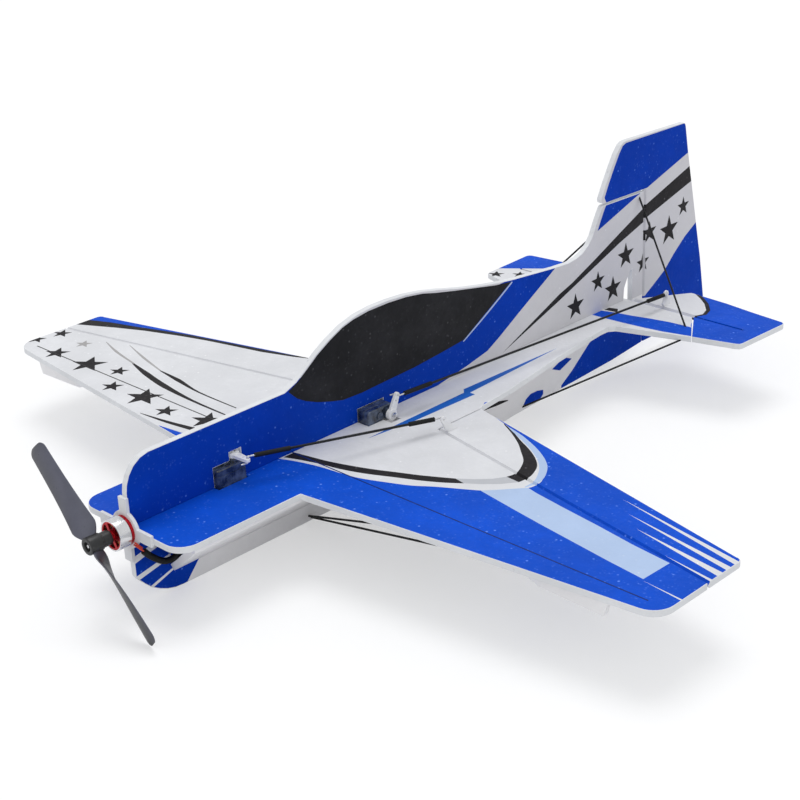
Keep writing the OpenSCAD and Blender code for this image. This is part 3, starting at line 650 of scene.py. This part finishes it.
# x, z, radius before scaling
SIDE_STARS = [
    (-203, 46, 6.8), (-222, 54.5, 5.5), (-235, 46.5, 6.8), (-246, 62.5, 6.8),
    (-261.5, 54, 5.5), (-267, 70, 6.0), (-285, 66.5, 8.0), (-298, 77, 5.2)]
# the blue and white on the upright sheets are darker copies of the flat coats, painted shade
SIDE_TOP = [
    # nose and flank, the margin above the canopy, the canopy and the line behind it
    (raised([(-186, 72), (-160, 58), (-142, 48), (-133, 43.5), (-118, 40.5), (-105, 38.5),
             (-95, 37), (-95, 20), (120, 20), (120, 130), (-186, 130)]), "blue_side"),
    (raised([(-4, 71), (-152, 76.5), (-152, 80), (-120, 92), (-80, 99), (-40, 99), (-4, 80)]),
     "white_up"),
    (CANOPY, "black"),
    (stroke(raised([(-115.4, 54.2), (-134, 64), (-152.6, 74.6)]), [0.7, 1.0, 0.9]),
     "light_blue_up"),
    # dark sweep up the fin and rudder
    (raised([(-144, 38.5), (-190, 57), (-200, 60), (-220, 68), (-240, 76.5), (-262, 85.7),
             (-262, 77.6), (-240, 71), (-220, 64), (-200, 57), (-190, 53.5)]), "star"),
    (raised([(-263, 86.6), (-303, 99), (-312, 101.5), (-312, 92.2), (-305.5, 90), (-263, 79)]),
     "star"),
    # blue on the fin, its top and the lower rudder
    (raised([(-221.3, 82.9), (-224, 88), (-226.5, 92.5), (-229.5, 97), (-229.5, 97),
             (-262.5, 97), (-262.5, 95.9)]), "blue_side"),
    (raised([(-263, 95.7), (-301, 107), (-330, 116), (-330, 123.9), (-245, 125.3),
             (-242, 124.2), (-239.4, 121.0), (-235.4, 114.8), (-231, 107.4), (-227.0, 99.8),
             (-229, 95.9)]), "blue_side"),
    (raised([(-330, 76), (-311, 64.5), (-300, 58.5), (-290, 51), (-282, 44), (-275, 40),
             (-264, 34), (-262, 33), (-262, -5), (-330, -5)]), "blue_side"),
] + [(star(x, z + ARTWORK_LIFT, r * SIDE_STAR_SCALE), "star") for x, z, r in SIDE_STARS]

SIDE_LOW = [
    # blue nose with three pale slashes
    (raised([(69.5, -5), (66.0, -1.3), (56.6, 9.2), (61, 40), (120, 40), (120, -5)]),
     "blue_side"),
    (raised([(95, 21.8), (79, 25.4), (79, 22.4), (95, 18.4)]), "white_low"),
    (raised([(95, 12.4), (73, 16.5), (73, 14.5), (95, 9.8)]), "white_low"),
    (raised([(85, 5.4), (71, 9.5), (71, 8.4), (85, 3.8)]), "white_low"),
    # tail area, two small patches, a patch amidships and a dark stroke
    (raised([(-191, 1), (-191, 4.5), (-200, 10), (-215, 21.5), (-220, 23), (-231, 24.5),
             (-246, 27), (-262.5, 31.5), (-262.5, 0)]), "blue_side"),
    ([(-160, 5.2), (-162, 7.8), (-165.8, 9.6), (-171, 9.6), (-176.1, 8.5), (-176, 6),
      (-173.6, 4.0), (-166, 4.2)], "blue_side"),
    ([(-183.4, 17.7), (-189, 19.8), (-195.3, 20.5), (-199.9, 18.5), (-190, 14.9)], "blue_side"),
    (raised([(-2, 9), (-7, 24), (-22, 25), (-25, 12), (-14, 7)]), "blue_side"),
    (stroke([(-122, 14.6), (-130, 14.2), (-139, 13.4), (-148, 12.2)], [0.5, 2.6, 2.4, 0.4]),
     "star"),
]

# ------------------------------------------------------------------ top artwork, (x, y)
OVAL_ARC = [
    (8.5, 1), (5, 10), (2, 22), (0, 37), (-2, 45), (-6, 55), (-11, 66), (-17, 75), (-26, 91),
    (-33, 100), (-41, 106), (-47, 107), (-52, 105.5), (-60, 100.5), (-66, 94), (-72, 84),
    (-78, 72), (-81, 63), (-84, 55)]
OVAL_BASE = [(-90, 36), (-100, 30), (-240, 30), (-240, -0.5), (8.5, -0.5)]
FRONT_OUTER = [(6, 2), (3, 10), (0, 20), (-2, 30), (-6, 42), (-12, 55), (-17, 66), (-22, 75),
               (-27, 82)]
FRONT_INNER = [(-0.5, 2), (-2, 10), (-4, 20), (-7, 30), (-11, 41), (-16, 52), (-21, 63),
               (-28, 76)]
REAR_OUTER = [(-43, 99.5), (-48, 100), (-53, 99), (-60, 95.5), (-66, 89), (-71, 81), (-75, 73),
              (-80, 64), (-84, 55)]
REAR_INNER = [(-43.5, 92), (-48, 93), (-53, 91.5), (-60, 87.5), (-66, 81), (-72, 74),
              (-78, 65), (-83, 56)]
SKY_STREAKS = [
    ([(-32, 17.5), (-60, 21), (-100, 22.6), (-100, 17.1), (-60, 17.3)], "sky"),
    ([(-95.5, 19.6), (-170, 16.5), (-101, 14.2)], "sky"),
]
LEFT = [
    # wing: blue ground, white oval and its dark rim
    ([(120, 0), (120, 240), (-110, 240), (-110, 40), (-91, 30), (-91, 0)], "blue_top"),
    (curve(OVAL_ARC, 3) + OVAL_BASE, "white"),
    (crescent(FRONT_OUTER, FRONT_INNER), "star"),
    ([(-27, 82), (-31, 88), (-36.5, 94.5), (-43, 99.5), (-43.5, 92), (-38, 88.5), (-33, 83),
      (-28, 76)], "light_grey"),
    (crescent(REAR_OUTER, REAR_INNER), "star"),
    (stroke([(-41, 104.6), (-47, 105.2), (-53, 103.4), (-60.5, 98.6), (-66.5, 92),
             (-72.4, 82.5), (-78, 70.5), (-82, 60)],
            [0.6, 2.4, 3.4, 3.6, 3.4, 3.0, 2.4, 0.5]), "light_blue"),
    # pale band running outboard, and the white spikes at the tip
    ([(-11.5, 189.5), (-14, 170), (-17, 150), (-20, 130), (-23, 112), (-26.5, 92), (-31, 96.5),
      (-41.5, 106), (-40, 112), (-37, 130), (-34, 150), (-30.5, 170), (-28, 190)],
     "light_blue"),
    ([(-24.6, 212), (-33.5, 172), (-27.8, 212)], "white"),
    ([(-31.2, 212), (-42, 163), (-34.8, 212)], "white"),
    ([(-37.2, 212), (-50, 153), (-40.3, 212)], "white"),
    ([(-42.8, 212), (-59, 143), (-45.8, 212)], "white"),
    ([(-7.6, 212), (-10.5, 190), (-8.6, 212)], "white"),
    *SKY_STREAKS,
    # stabiliser and elevator
    ([(-217, 1.6), (-218, 20), (-219.5, 35), (-221, 45), (-224, 57), (-227, 69), (-235, 53),
      (-234, 40), (-232, 30), (-229.5, 20), (-227, 8), (-225, 1.6)], "blue_top"),
    ([(-227, 2), (-228.2, 10), (-232.5, 7), (-231, 2)], "star"),
    ([(-249, 46), (-249, 90), (-228, 92), (-228, 62), (-236, 52), (-249, 44)], "blue_top"),
    ([(-247, 4), (-290, 4), (-290, 92), (-247, 92)], "blue_top"),
    ([(-249, 46.4), (-254.6, 49), (-261.2, 46.9), (-268.6, 40.6), (-273.8, 34), (-278.2, 27),
      (-280, 21), (-249, 2)], "star"),
    ([(-248, 44.5), (-254, 47), (-260, 45), (-267, 39), (-272, 33), (-276, 27), (-278, 20),
      (-279, 2), (-248, 2)], "white"),
]
# x, y, radius before scaling
TOP_STARS = [
    (-5.5, -209, 5), (-19, -205, 5), (-1, -184, 6.5), (-2.5, -158, 9), (-7, -138, 5),
    (7, -125, 5.5), (5, -102, 9), (8.5, -80, 5.5), (2.5, -56, 8),
    (-233, -81, 4.6), (-241, -70, 4.2), (-243, -52, 4.6), (-232, -60, 3.8)]
RIGHT = [
    # wing: blue root, and the dark-edged blue sweep along the trailing edge
    ([(120, 0.5), (120, -38), (25.5, -38), (22, -30), (14, -14), (9, 0.5)], "blue_top"),
    ([(-31, -212), (-37, -200), (-43, -188), (-50, -172), (-57, -152), (-62, -135),
      (-66, -118), (-70, -100), (-76, -82), (-79.5, -74), (-95, -74), (-70, -212)], "star"),
    ([(-39.5, -212), (-46, -197), (-51, -180), (-57, -163), (-62, -147), (-66, -130),
      (-70, -113), (-74, -97), (-78, -82), (-84, -70), (-95, -70), (-70, -212)], "blue_top"),
    # thin strokes running outboard
    (stroke([(-7, -54), (-7.5, -80), (-10, -105), (-14, -125), (-18.5, -143)],
            [0.9, 1.7, 3.6, 3.4, 0.4]), "star"),
    (stroke([(-18, -140), (-22, -160), (-27, -176)], [1.0, 1.6, 0.3]), "faint"),
    (stroke([(-15.5, -56), (-16, -85), (-19, -105), (-21, -123)], [0.7, 1.1, 2.8, 0.4]), "star"),
    (stroke([(-21, -122), (-26, -142), (-32, -162)], [0.9, 1.5, 0.3]), "faint"),
    (stroke([(13, -53), (16, -70), (18, -88)], [3.4, 2.2, 0.3]), "star"),
    ([(18.6, -50), (25.5, -50), (23, -60), (21, -70)], "blue_top"),
    *mirror(SKY_STREAKS),
    # stabiliser and elevator
    ([(-240, -90), (-240, -88), (-258, -64), (-270, -46), (-278, -34), (-290, -30),
      (-290, -92)], "blue_top"),
    ([(-217, -1.6), (-217, -20), (-219, -36), (-226, -28), (-229, -12), (-227, -1.6)],
     "blue_top"),
    *((star(x, y, r * TOP_STAR_SCALE, heading=0.0), "star") for x, y, r in TOP_STARS),
    (star(-17.5, -183, 5, heading=0.0), "faint"),
]
TOP = LEFT + RIGHT
UNDER_LEFT = [
    ([(120, 0), (120, 60), (40, 60), (30, 30), (20, 0)], "blue_top"),
    ([(60, 150), (-90, 126), (-90, 136), (60, 160)], "blue_top"),
    ([(60, 145), (-90, 121), (-90, 123.4), (60, 147.4)], "star"),
    ([(-200, 62), (-300, 44), (-300, 50), (-200, 68)], "blue_top"),
]
UNDER = UNDER_LEFT + mirror(UNDER_LEFT)

# ------------------------------------------------------------------ the sheets
AILERON_ROOT, AILERON_TIP = (-60, 36), (-25, 210)   # hinge line on the left wing
V_DEPTH = 1.1                                       # how far a hinged edge comes to a ridge
along = (Vector(AILERON_TIP) - Vector(AILERON_ROOT)).normalized()
LEFT_AILERON = (AILERON_ROOT, (along.y, -along.x), 1.3, V_DEPTH)
RIGHT_AILERON = ((-60, -36), (along.y, along.x), 1.3, V_DEPTH)
ELEVATOR_X, ELEVATOR_SETBACK = -248.6, 1.7
ELEVATOR = ((ELEVATOR_X, 0), (1, 0), ELEVATOR_SETBACK, V_DEPTH)
RUDDER = ((-262, 0), (1, 0), 1.4, V_DEPTH)


def plate_coated(x, y):
    return (-95 < x < -30 and 35 < abs(y) < 205) or (x < -224.5 and abs(y) < 61)


def upper_coated(x, z):
    return z < SHEET_TOP + 0.6 or x < -261


def lower_coated(x, z):
    return z > SHEET_TOP - 3.8 and x < 91


def aileron_coated(x, y):
    return abs(y) < 38


def elevator_coated(x, y):
    return ((-252 < x < -224 and abs(y) < 60.5)
            or (abs(x - ELEVATOR_X) < ELEVATOR_SETBACK and abs(y) < 79))


# the upright sheets rest on a darkened white (painted shade), the lower sheet on a lightened
# white (painted light)
UPPER_COAT, LOWER_COAT = (SIDE_TOP, "white_up"), (SIDE_LOW, "white_low")
TOP_WHITE, TOP_BLUE, UNDER_WHITE = (TOP, "white"), (TOP, "blue_top"), (UNDER, "white")
foam_pieces = [
    sheet("wing_and_tail_sheet", "main_plate", 2, "airframe", TOP_WHITE, UNDER_WHITE,
          coated=plate_coated),
    sheet("upper_side_sheet", "upper_fuselage", 1, "airframe", UPPER_COAT, UPPER_COAT,
          coated=upper_coated),
    sheet("lower_side_sheet", "lower_fuselage", 1, "airframe", LOWER_COAT, LOWER_COAT,
          coated=lower_coated),
    sheet("left_aileron_sheet", "left_aileron", 2, "left_aileron_panel",
          TOP_BLUE, UNDER_WHITE, hinge=LEFT_AILERON, coated=aileron_coated),
    sheet("right_aileron_sheet", "right_aileron", 2, "right_aileron_panel",
          TOP_WHITE, UNDER_WHITE, hinge=RIGHT_AILERON, coated=aileron_coated),
    sheet("left_elevator_sheet", "left_elevator", 2, "elevator",
          TOP_BLUE, UNDER_WHITE, hinge=ELEVATOR, coated=elevator_coated),
    sheet("right_elevator_sheet", "right_elevator", 2, "elevator",
          TOP_WHITE, UNDER_WHITE, hinge=ELEVATOR, coated=elevator_coated),
    sheet("rudder_sheet", "rudder", 1, "rudder_panel", UPPER_COAT, UPPER_COAT, hinge=RUDDER),
]


# ------------------------------------------------------------------ hard parts from the CAD
def finish_mesh(bm, name, keys, body, node, sharp_angle=38, weighted=True):
    """Turns a bmesh into a smooth-shaded object that stands in for a CAD node."""
    mesh = bpy.data.meshes.new(name)
    bm.to_mesh(mesh)
    bm.free()
    for key in keys:
        mesh.materials.append(MATERIALS[key])
    for polygon in mesh.polygons:
        polygon.use_smooth = True
    mesh.set_sharp_from_angle(angle=math.radians(sharp_angle))
    piece = add_object(name, mesh)
    if weighted:
        piece.modifiers.new("even_shading", "WEIGHTED_NORMAL").keep_sharp = True
    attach(piece, body)
    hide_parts(node)


def soften(node, key, width, slot):
    """A copy of a CAD node with joined corners, whole flat faces and bevelled edges."""
    bm = bmesh.new()
    bm.from_mesh(NODES[node].data)
    bmesh.ops.remove_doubles(bm, verts=bm.verts, dist=2e-6)
    bmesh.ops.dissolve_limit(bm, angle_limit=math.radians(1.5), verts=bm.verts, edges=bm.edges)
    sharp = [e for e in bm.edges
             if len(e.link_faces) == 2 and e.calc_face_angle(0) > math.radians(34)]
    bmesh.ops.bevel(bm, geom=sharp, offset=width * MM, offset_type="OFFSET", segments=2,
                    profile=0.6, affect="EDGES", clamp_overlap=True)
    finish_mesh(bm, node + "_soft", [key], BODY[node], node)


# node, material, bevel width, slot
SOFTENED = [
    # the side panels and underwing plates take the lightened white, painted light on these low
    # pieces
    ("left_side_panel", "white_low", 0.3, "white_foam"),
    ("right_side_panel", "white_low", 0.3, "white_foam"),
    ("underwing_plates", "white_low", 0.3, "white_foam"),
    ("motor_mount", "mount", 0.28, "white_nylon"),
    ("battery", "wrap", 1.0, "battery_wrap"),
    ("battery_pad", "pad", 0.15, "black_plastic"),
    ("speed_controller", "board", 0.5, "circuit"),
    ("prop_adapter", "moulding", 0.22, "black_plastic"),
    ("flux_ring", "silver", 0.14, "steel"),
    ("motor_base", "red", 0.12, "red_alloy"),
    ("bell_spider", "red", 0.08, "red_alloy"),
    *((part + "_servo_arm", "nylon", 0.22, "white_nylon")
      for part in ("aileron", "elevator", "rudder")),
    *((part + "_horn", "nylon", 0.12, "white_nylon")
      for part in ("left_aileron", "right_aileron", "elevator", "rudder")),
]
for row in SOFTENED:
    soften(*row)


def paint_node(node, *keys):
    """Gives a CAD node these materials, with every face on the first."""
    mesh = NODES[node].data
    mesh.materials.clear()
    for key in keys:
        mesh.materials.append(MATERIALS[key])
    for polygon in mesh.polygons:
        polygon.material_index = 0
    return mesh


SERVOS = ("aileron", "elevator", "rudder")
LINKAGES = ("left_aileron", "right_aileron", "elevator", "rudder")
PLAIN = {   # material: nodes
    "rod": ("elevator_spar", "wing_braces", "tail_braces"),
    "tape": ("hinge_tapes",),
    "steel": ("mount_screws", "motor_bearings", "motor_shaft",
              *(name + "_arm_screw" for name in SERVOS)),
    "lamination": ("stator_core",),
    "copper": ("stator_windings",),
    "magnet": ("rotor_magnets",),
    "insulation": ("motor_wires",),
    "shrink": ("motor_wire_sleeve", *(name + "_rod_sleeves" for name in LINKAGES)),
    "board": ("receiver",),
    "ribbon": ("servo_leads",),
    "nylon": tuple(name + "_servo_shaft" for name in SERVOS),
}
for key, nodes in PLAIN.items():
    for node in nodes:
        paint_node(node, key)

REAR_WIRE, FRONT_WIRE = 0.0082, 0.0092   # bright wire at each end of a pushrod, metres
for name in LINKAGES:
    mesh = paint_node(name + "_pushrod", "rod", "wire")
    xs = [v.co.x for v in mesh.vertices]
    for polygon in mesh.polygons:
        if polygon.center.x < min(xs) + REAR_WIRE or polygon.center.x > max(xs) - FRONT_WIRE:
            polygon.material_index = 1


def paint_battery_lead():
    """Colours each connected part: white plug in front, red core above, black core below."""
    plug_x, core_z = 30.5, 28.0   # limits between the parts
    mesh = paint_node("battery_lead", "red_lead", "black_lead", "nylon")
    parent = list(range(len(mesh.vertices)))

    def root(i):
        while parent[i] != i:
            parent[i] = parent[parent[i]]
            i = parent[i]
        return i

    first_at = {}
    for vertex in mesh.vertices:
        spot = tuple(round(c * 1e5) for c in vertex.co)
        if spot in first_at:
            parent[root(vertex.index)] = root(first_at[spot])
        else:
            first_at[spot] = vertex.index
    for polygon in mesh.polygons:
        for index in polygon.vertices[1:]:
            parent[root(index)] = root(polygon.vertices[0])
    parts = {}
    for polygon in mesh.polygons:
        parts.setdefault(root(polygon.vertices[0]), []).append(polygon)
    for part in parts.values():
        x = sum(p.center.x for p in part) / len(part) / MM
        z = sum(p.center.z for p in part) / len(part) / MM
        for polygon in part:
            polygon.material_index = 2 if x > plug_x else (0 if z > core_z else 1)


paint_battery_lead()


# ------------------------------------------------------------------ lofted parts
def bridge(bm, rings, material=0):
    """Quads between neighbouring rings of vertices."""
    for near, far in zip(rings, rings[1:]):
        for i in range(len(near)):
            j = (i + 1) % len(near)
            bm.faces.new((near[i], near[j], far[j], far[i])).material_index = material


def solid(bm, sections, material=0):
    """Closed solid through rings of points, all with the same count."""
    rings = [[bm.verts.new(point) for point in section] for section in sections]
    bridge(bm, rings, material)
    bm.faces.new(rings[0][::-1]).material_index = material
    bm.faces.new(rings[-1]).material_index = material


def wing_spar():
    """Flat carbon strip pressed into the foam, painted over on the left wing."""
    half_width, half_span, chamfer = 0.42, 200.5, 0.12
    low, high = SHEET_TOP - 0.7, SHEET_TOP + 0.05
    section = [(-half_width, low), (half_width, low), (half_width, high - chamfer),
               (half_width - chamfer, high), (-half_width + chamfer, high),
               (-half_width, high - chamfer)]
    bm = bmesh.new()
    for ends, material in (((-half_span, 0.0), 0), ((0.0, half_span), 1)):
        solid(bm, [[(x * MM, y * MM, z * MM) for x, z in section] for y in ends], material)
    bmesh.ops.recalc_face_normals(bm, faces=bm.faces)
    finish_mesh(bm, "wing_spar_strip", ["rod", "rod_blue"], "airframe", "wing_spar",
                weighted=False)


wing_spar()

SERVO_WIDTH, SERVO_LENGTH, SERVO_HEIGHT = 8.2, 16.8, 15.4
SERVO_CORNER = 1.7
# inset, height below the lid: rounded ends and two shallow grooves
SERVO_PROFILE = [
    (0.9, -SERVO_HEIGHT), (0.35, -SERVO_HEIGHT + 0.12), (0.08, -SERVO_HEIGHT + 0.45),
    (0, -SERVO_HEIGHT + 0.9), (0, -11.9), (0.16, -11.8), (0.16, -11.6), (0, -11.5),
    (0, -3.5), (0.16, -3.4), (0.16, -3.2), (0, -3.1),
    (0, -0.9), (0.08, -0.45), (0.35, -0.12), (0.9, 0)]
# radius, height: gearbox dome and the smaller collar behind it
DOME = [(2.9, -0.1), (2.9, 0.95), (2.78, 1.2), (2.5, 1.3)]
COLLAR, COLLAR_X = [(1.9, -0.1), (1.9, 0.45), (1.75, 0.64), (1.4, 0.7)], 5.2


def servo_section(inset, z, steps=6):
    """Rounded rectangle round the case, with the output shaft at the origin."""
    half = SERVO_WIDTH / 2
    r = max(0.3, SERVO_CORNER - inset)
    x0, x1 = -half + inset + r, SERVO_LENGTH - half - inset - r
    y0, y1 = -half + inset + r, half - inset - r
    points = []
    for x, y, start in ((x1, y1, 0), (x0, y1, 90), (x0, y0, 180), (x1, y0, 270)):
        for i in range(steps + 1):
            angle = math.radians(start + 90 * i / steps)
            points.append((x + r * math.cos(angle), y + r * math.sin(angle), z))
    return points


def circle(x, radius, z, count=40):
    angles = [2 * math.pi * i / count for i in range(count)]
    return [(x + radius * math.cos(a), radius * math.sin(a), z) for a in angles]


def servo(node, placement):
    bm = bmesh.new()
    solid(bm, [servo_section(inset, z) for inset, z in SERVO_PROFILE])
    solid(bm, [circle(0, r, z) for r, z in DOME])
    solid(bm, [circle(COLLAR_X, r, z) for r, z in COLLAR])
    bmesh.ops.recalc_face_normals(bm, faces=bm.faces)
    bmesh.ops.transform(bm, matrix=Matrix.Scale(MM, 4), verts=bm.verts)
    bmesh.ops.transform(bm, matrix=placement, verts=bm.verts)
    finish_mesh(bm, node + "_case", ["shell"], "airframe", node, sharp_angle=32)


move = Matrix.Translation   # in metres
servo("aileron_servo", move((0.033, 0, 0.0471)))
servo("rudder_servo", move((-0.066, -0.0075, 0.0471)) @ Matrix.Rotation(math.pi, 4, "Z"))
servo("elevator_servo", move((-0.0544, 0.0084, 0.0407)) @ Matrix.Rotation(-math.pi / 2, 4, "X"))

# ------------------------------------------------------------------ propeller
BLADE_ROOT, BLADE_TIP = 3.2, 48.5   # radii
BLADE_PITCH = 60.0                  # advance in one turn
BLADE_CHORD = 11.2
# fractions of the blade from root to tip, closer where the outline bends
BLADE_STATIONS = [
    0, 0.015, 0.03, 0.045, 0.06, 0.075, 0.09, 0.105, 0.12, 0.15, 0.18, 0.22, 0.28, 0.34,
    0.4, 0.5, 0.6, 0.7, 0.8, 0.88, 0.92, 0.94, 0.955, 0.968, 0.979, 0.988, 0.995, 1.0]
# x, radius
HUB_PROFILE = [
    (-3.1, 0.8), (-3.1, 3.7), (-2.95, 3.85), (-2.7, 3.9), (3.0, 3.9), (3.25, 3.85),
    (3.4, 3.7), (3.4, 2.2), (3.3, 2.1), (2.2, 2.1), (2.2, 0.8)]
HUB_SEGMENTS = 56


def chord(u):
    """Blade width at a fraction of its length: narrow root, rounded tip."""
    width = BLADE_CHORD
    if u < 0.12:
        width -= 5.4 * (1 - u / 0.12) ** 1.5
    if u > 0.93:
        width -= BLADE_CHORD * (1 - math.sqrt(max(0.0, 1 - 0.72 * ((u - 0.93) / 0.07) ** 2)))
    return width


def blade_section(u, count=28):
    """Cambered aerofoil ring, turned to the pitch angle at its radius."""
    radius = BLADE_ROOT + u * (BLADE_TIP - BLADE_ROOT)
    width = chord(u)
    thickness = ((1.9 - 1.1 * math.sqrt(u))
                 * (1 - 0.45 * max(0.0, (u - 0.96) / 0.04) ** 2))
    pitch = math.atan(BLADE_PITCH / (2 * math.pi * radius))
    points = []
    for i in range(count):
        angle = -2 * math.pi * i / count
        x = width * 0.5 * math.cos(angle)
        y = thickness * 0.5 * math.sin(angle) + 0.04 * width * (1 - math.cos(angle) ** 2)
        points.append((x * math.sin(pitch) + y * math.cos(pitch),
                       -(x * math.cos(pitch) - y * math.sin(pitch)), radius))
    return points


def propeller():
    bm = bmesh.new()
    for half_turn in (0, 180):
        spin = Matrix.Rotation(math.radians(half_turn), 4, "X")
        solid(bm, [[spin @ Vector(p) for p in blade_section(u)] for u in BLADE_STATIONS])
    angles = [2 * math.pi * i / HUB_SEGMENTS for i in range(HUB_SEGMENTS)]
    hub = [[bm.verts.new((x, r * math.cos(a), r * math.sin(a))) for a in angles]
           for x, r in HUB_PROFILE]
    bridge(bm, hub + hub[:1], material=1)
    bmesh.ops.recalc_face_normals(bm, faces=bm.faces)
    placement = (move((0.1097, 0, 0.0373)) @ Matrix.Rotation(math.radians(45), 4, "X")
                 @ Matrix.Scale(MM, 4))
    bmesh.ops.transform(bm, matrix=placement, verts=bm.verts)
    for vertex in bm.verts:   # the smooth blades stay inside the CAD box
        vertex.co.x = min(vertex.co.x, CAD_BOX[1][0] - 1e-6)
    finish_mesh(bm, "propeller_smooth", ["prop", "moulding"], "rotor", "propeller",
                sharp_angle=50, weighted=False)


propeller()


# ------------------------------------------------------------------ floor, light, camera
def add_floor():
    """Pale floor that also glows a little where the camera sees it directly."""
    bpy.ops.mesh.primitive_plane_add(size=9, location=(0, 0, -0.00002))
    floor = bpy.context.active_object
    floor.name = "floor"
    s = Shader("studio_floor")
    seen = s.node("LightPath").outputs["Is Camera Ray"]
    cloud = s.noise(scale=9.0, detail=3.0)
    shade = s.mix(s.ramp(cloud, span=(0.3, 0.7)), (0.56, 0.56, 0.565), (0.57, 0.57, 0.57))
    s.surface({
        "Base Color": s.mix(seen, (0.86, 0.86, 0.87), shade),
        "Emission Color": (1, 1, 1),
        "Emission Strength": s.multiply(seen, 0.44),
        "Roughness": 0.75,
        "Specular IOR Level": 0.15,
    })
    floor.data.materials.append(s.material)


def add_world(color, strength):
    world = bpy.data.worlds.new("studio")
    bpy.context.scene.world = world
    world.use_nodes = True
    background = world.node_tree.nodes["Background"]
    background.inputs[0].default_value = (*color, 1)
    background.inputs[1].default_value = strength


def add_sun(name, azimuth, elevation, strength, spread):
    """Sun lamp; the angles, in degrees, point towards the light."""
    light = bpy.data.lights.new(name, "SUN")
    light.energy = strength
    light.angle = math.radians(spread)
    light.color = (1, 1, 1)
    a, e = math.radians(azimuth), math.radians(elevation)
    towards = Vector((math.cos(a) * math.cos(e), math.sin(a) * math.cos(e), math.sin(e)))
    add_object(name, light).rotation_euler = towards.to_track_quat("Z", "Y").to_euler()


def add_camera():
    camera = bpy.data.cameras.new("camera")
    camera.sensor_width = 36
    camera.lens = 75.47
    camera.clip_start = 0.02
    right = (-0.6986795, 0.7142183, -0.0417029)
    up = (-0.32013, -0.259972, 0.9110057)
    backward = (0.6398153, 0.6498514, 0.4102798)
    placement = Matrix((right, up, backward)).transposed().to_4x4()
    placement.translation = (0.445075, 0.524394, 0.370008)
    holder = add_object("camera", camera)
    holder.matrix_world = placement
    bpy.context.scene.camera = holder


add_floor()
add_world(color=(0.97, 0.985, 1.0), strength=0.72)
add_sun("key", azimuth=215, elevation=76, strength=1.0, spread=34)
add_sun("fill", azimuth=40, elevation=35, strength=0.18, spread=60)
add_camera()
bpy.context.scene.view_settings.view_transform = "Standard"
bpy.context.scene.view_settings.look = "None"

bpy.context.view_layer.update()
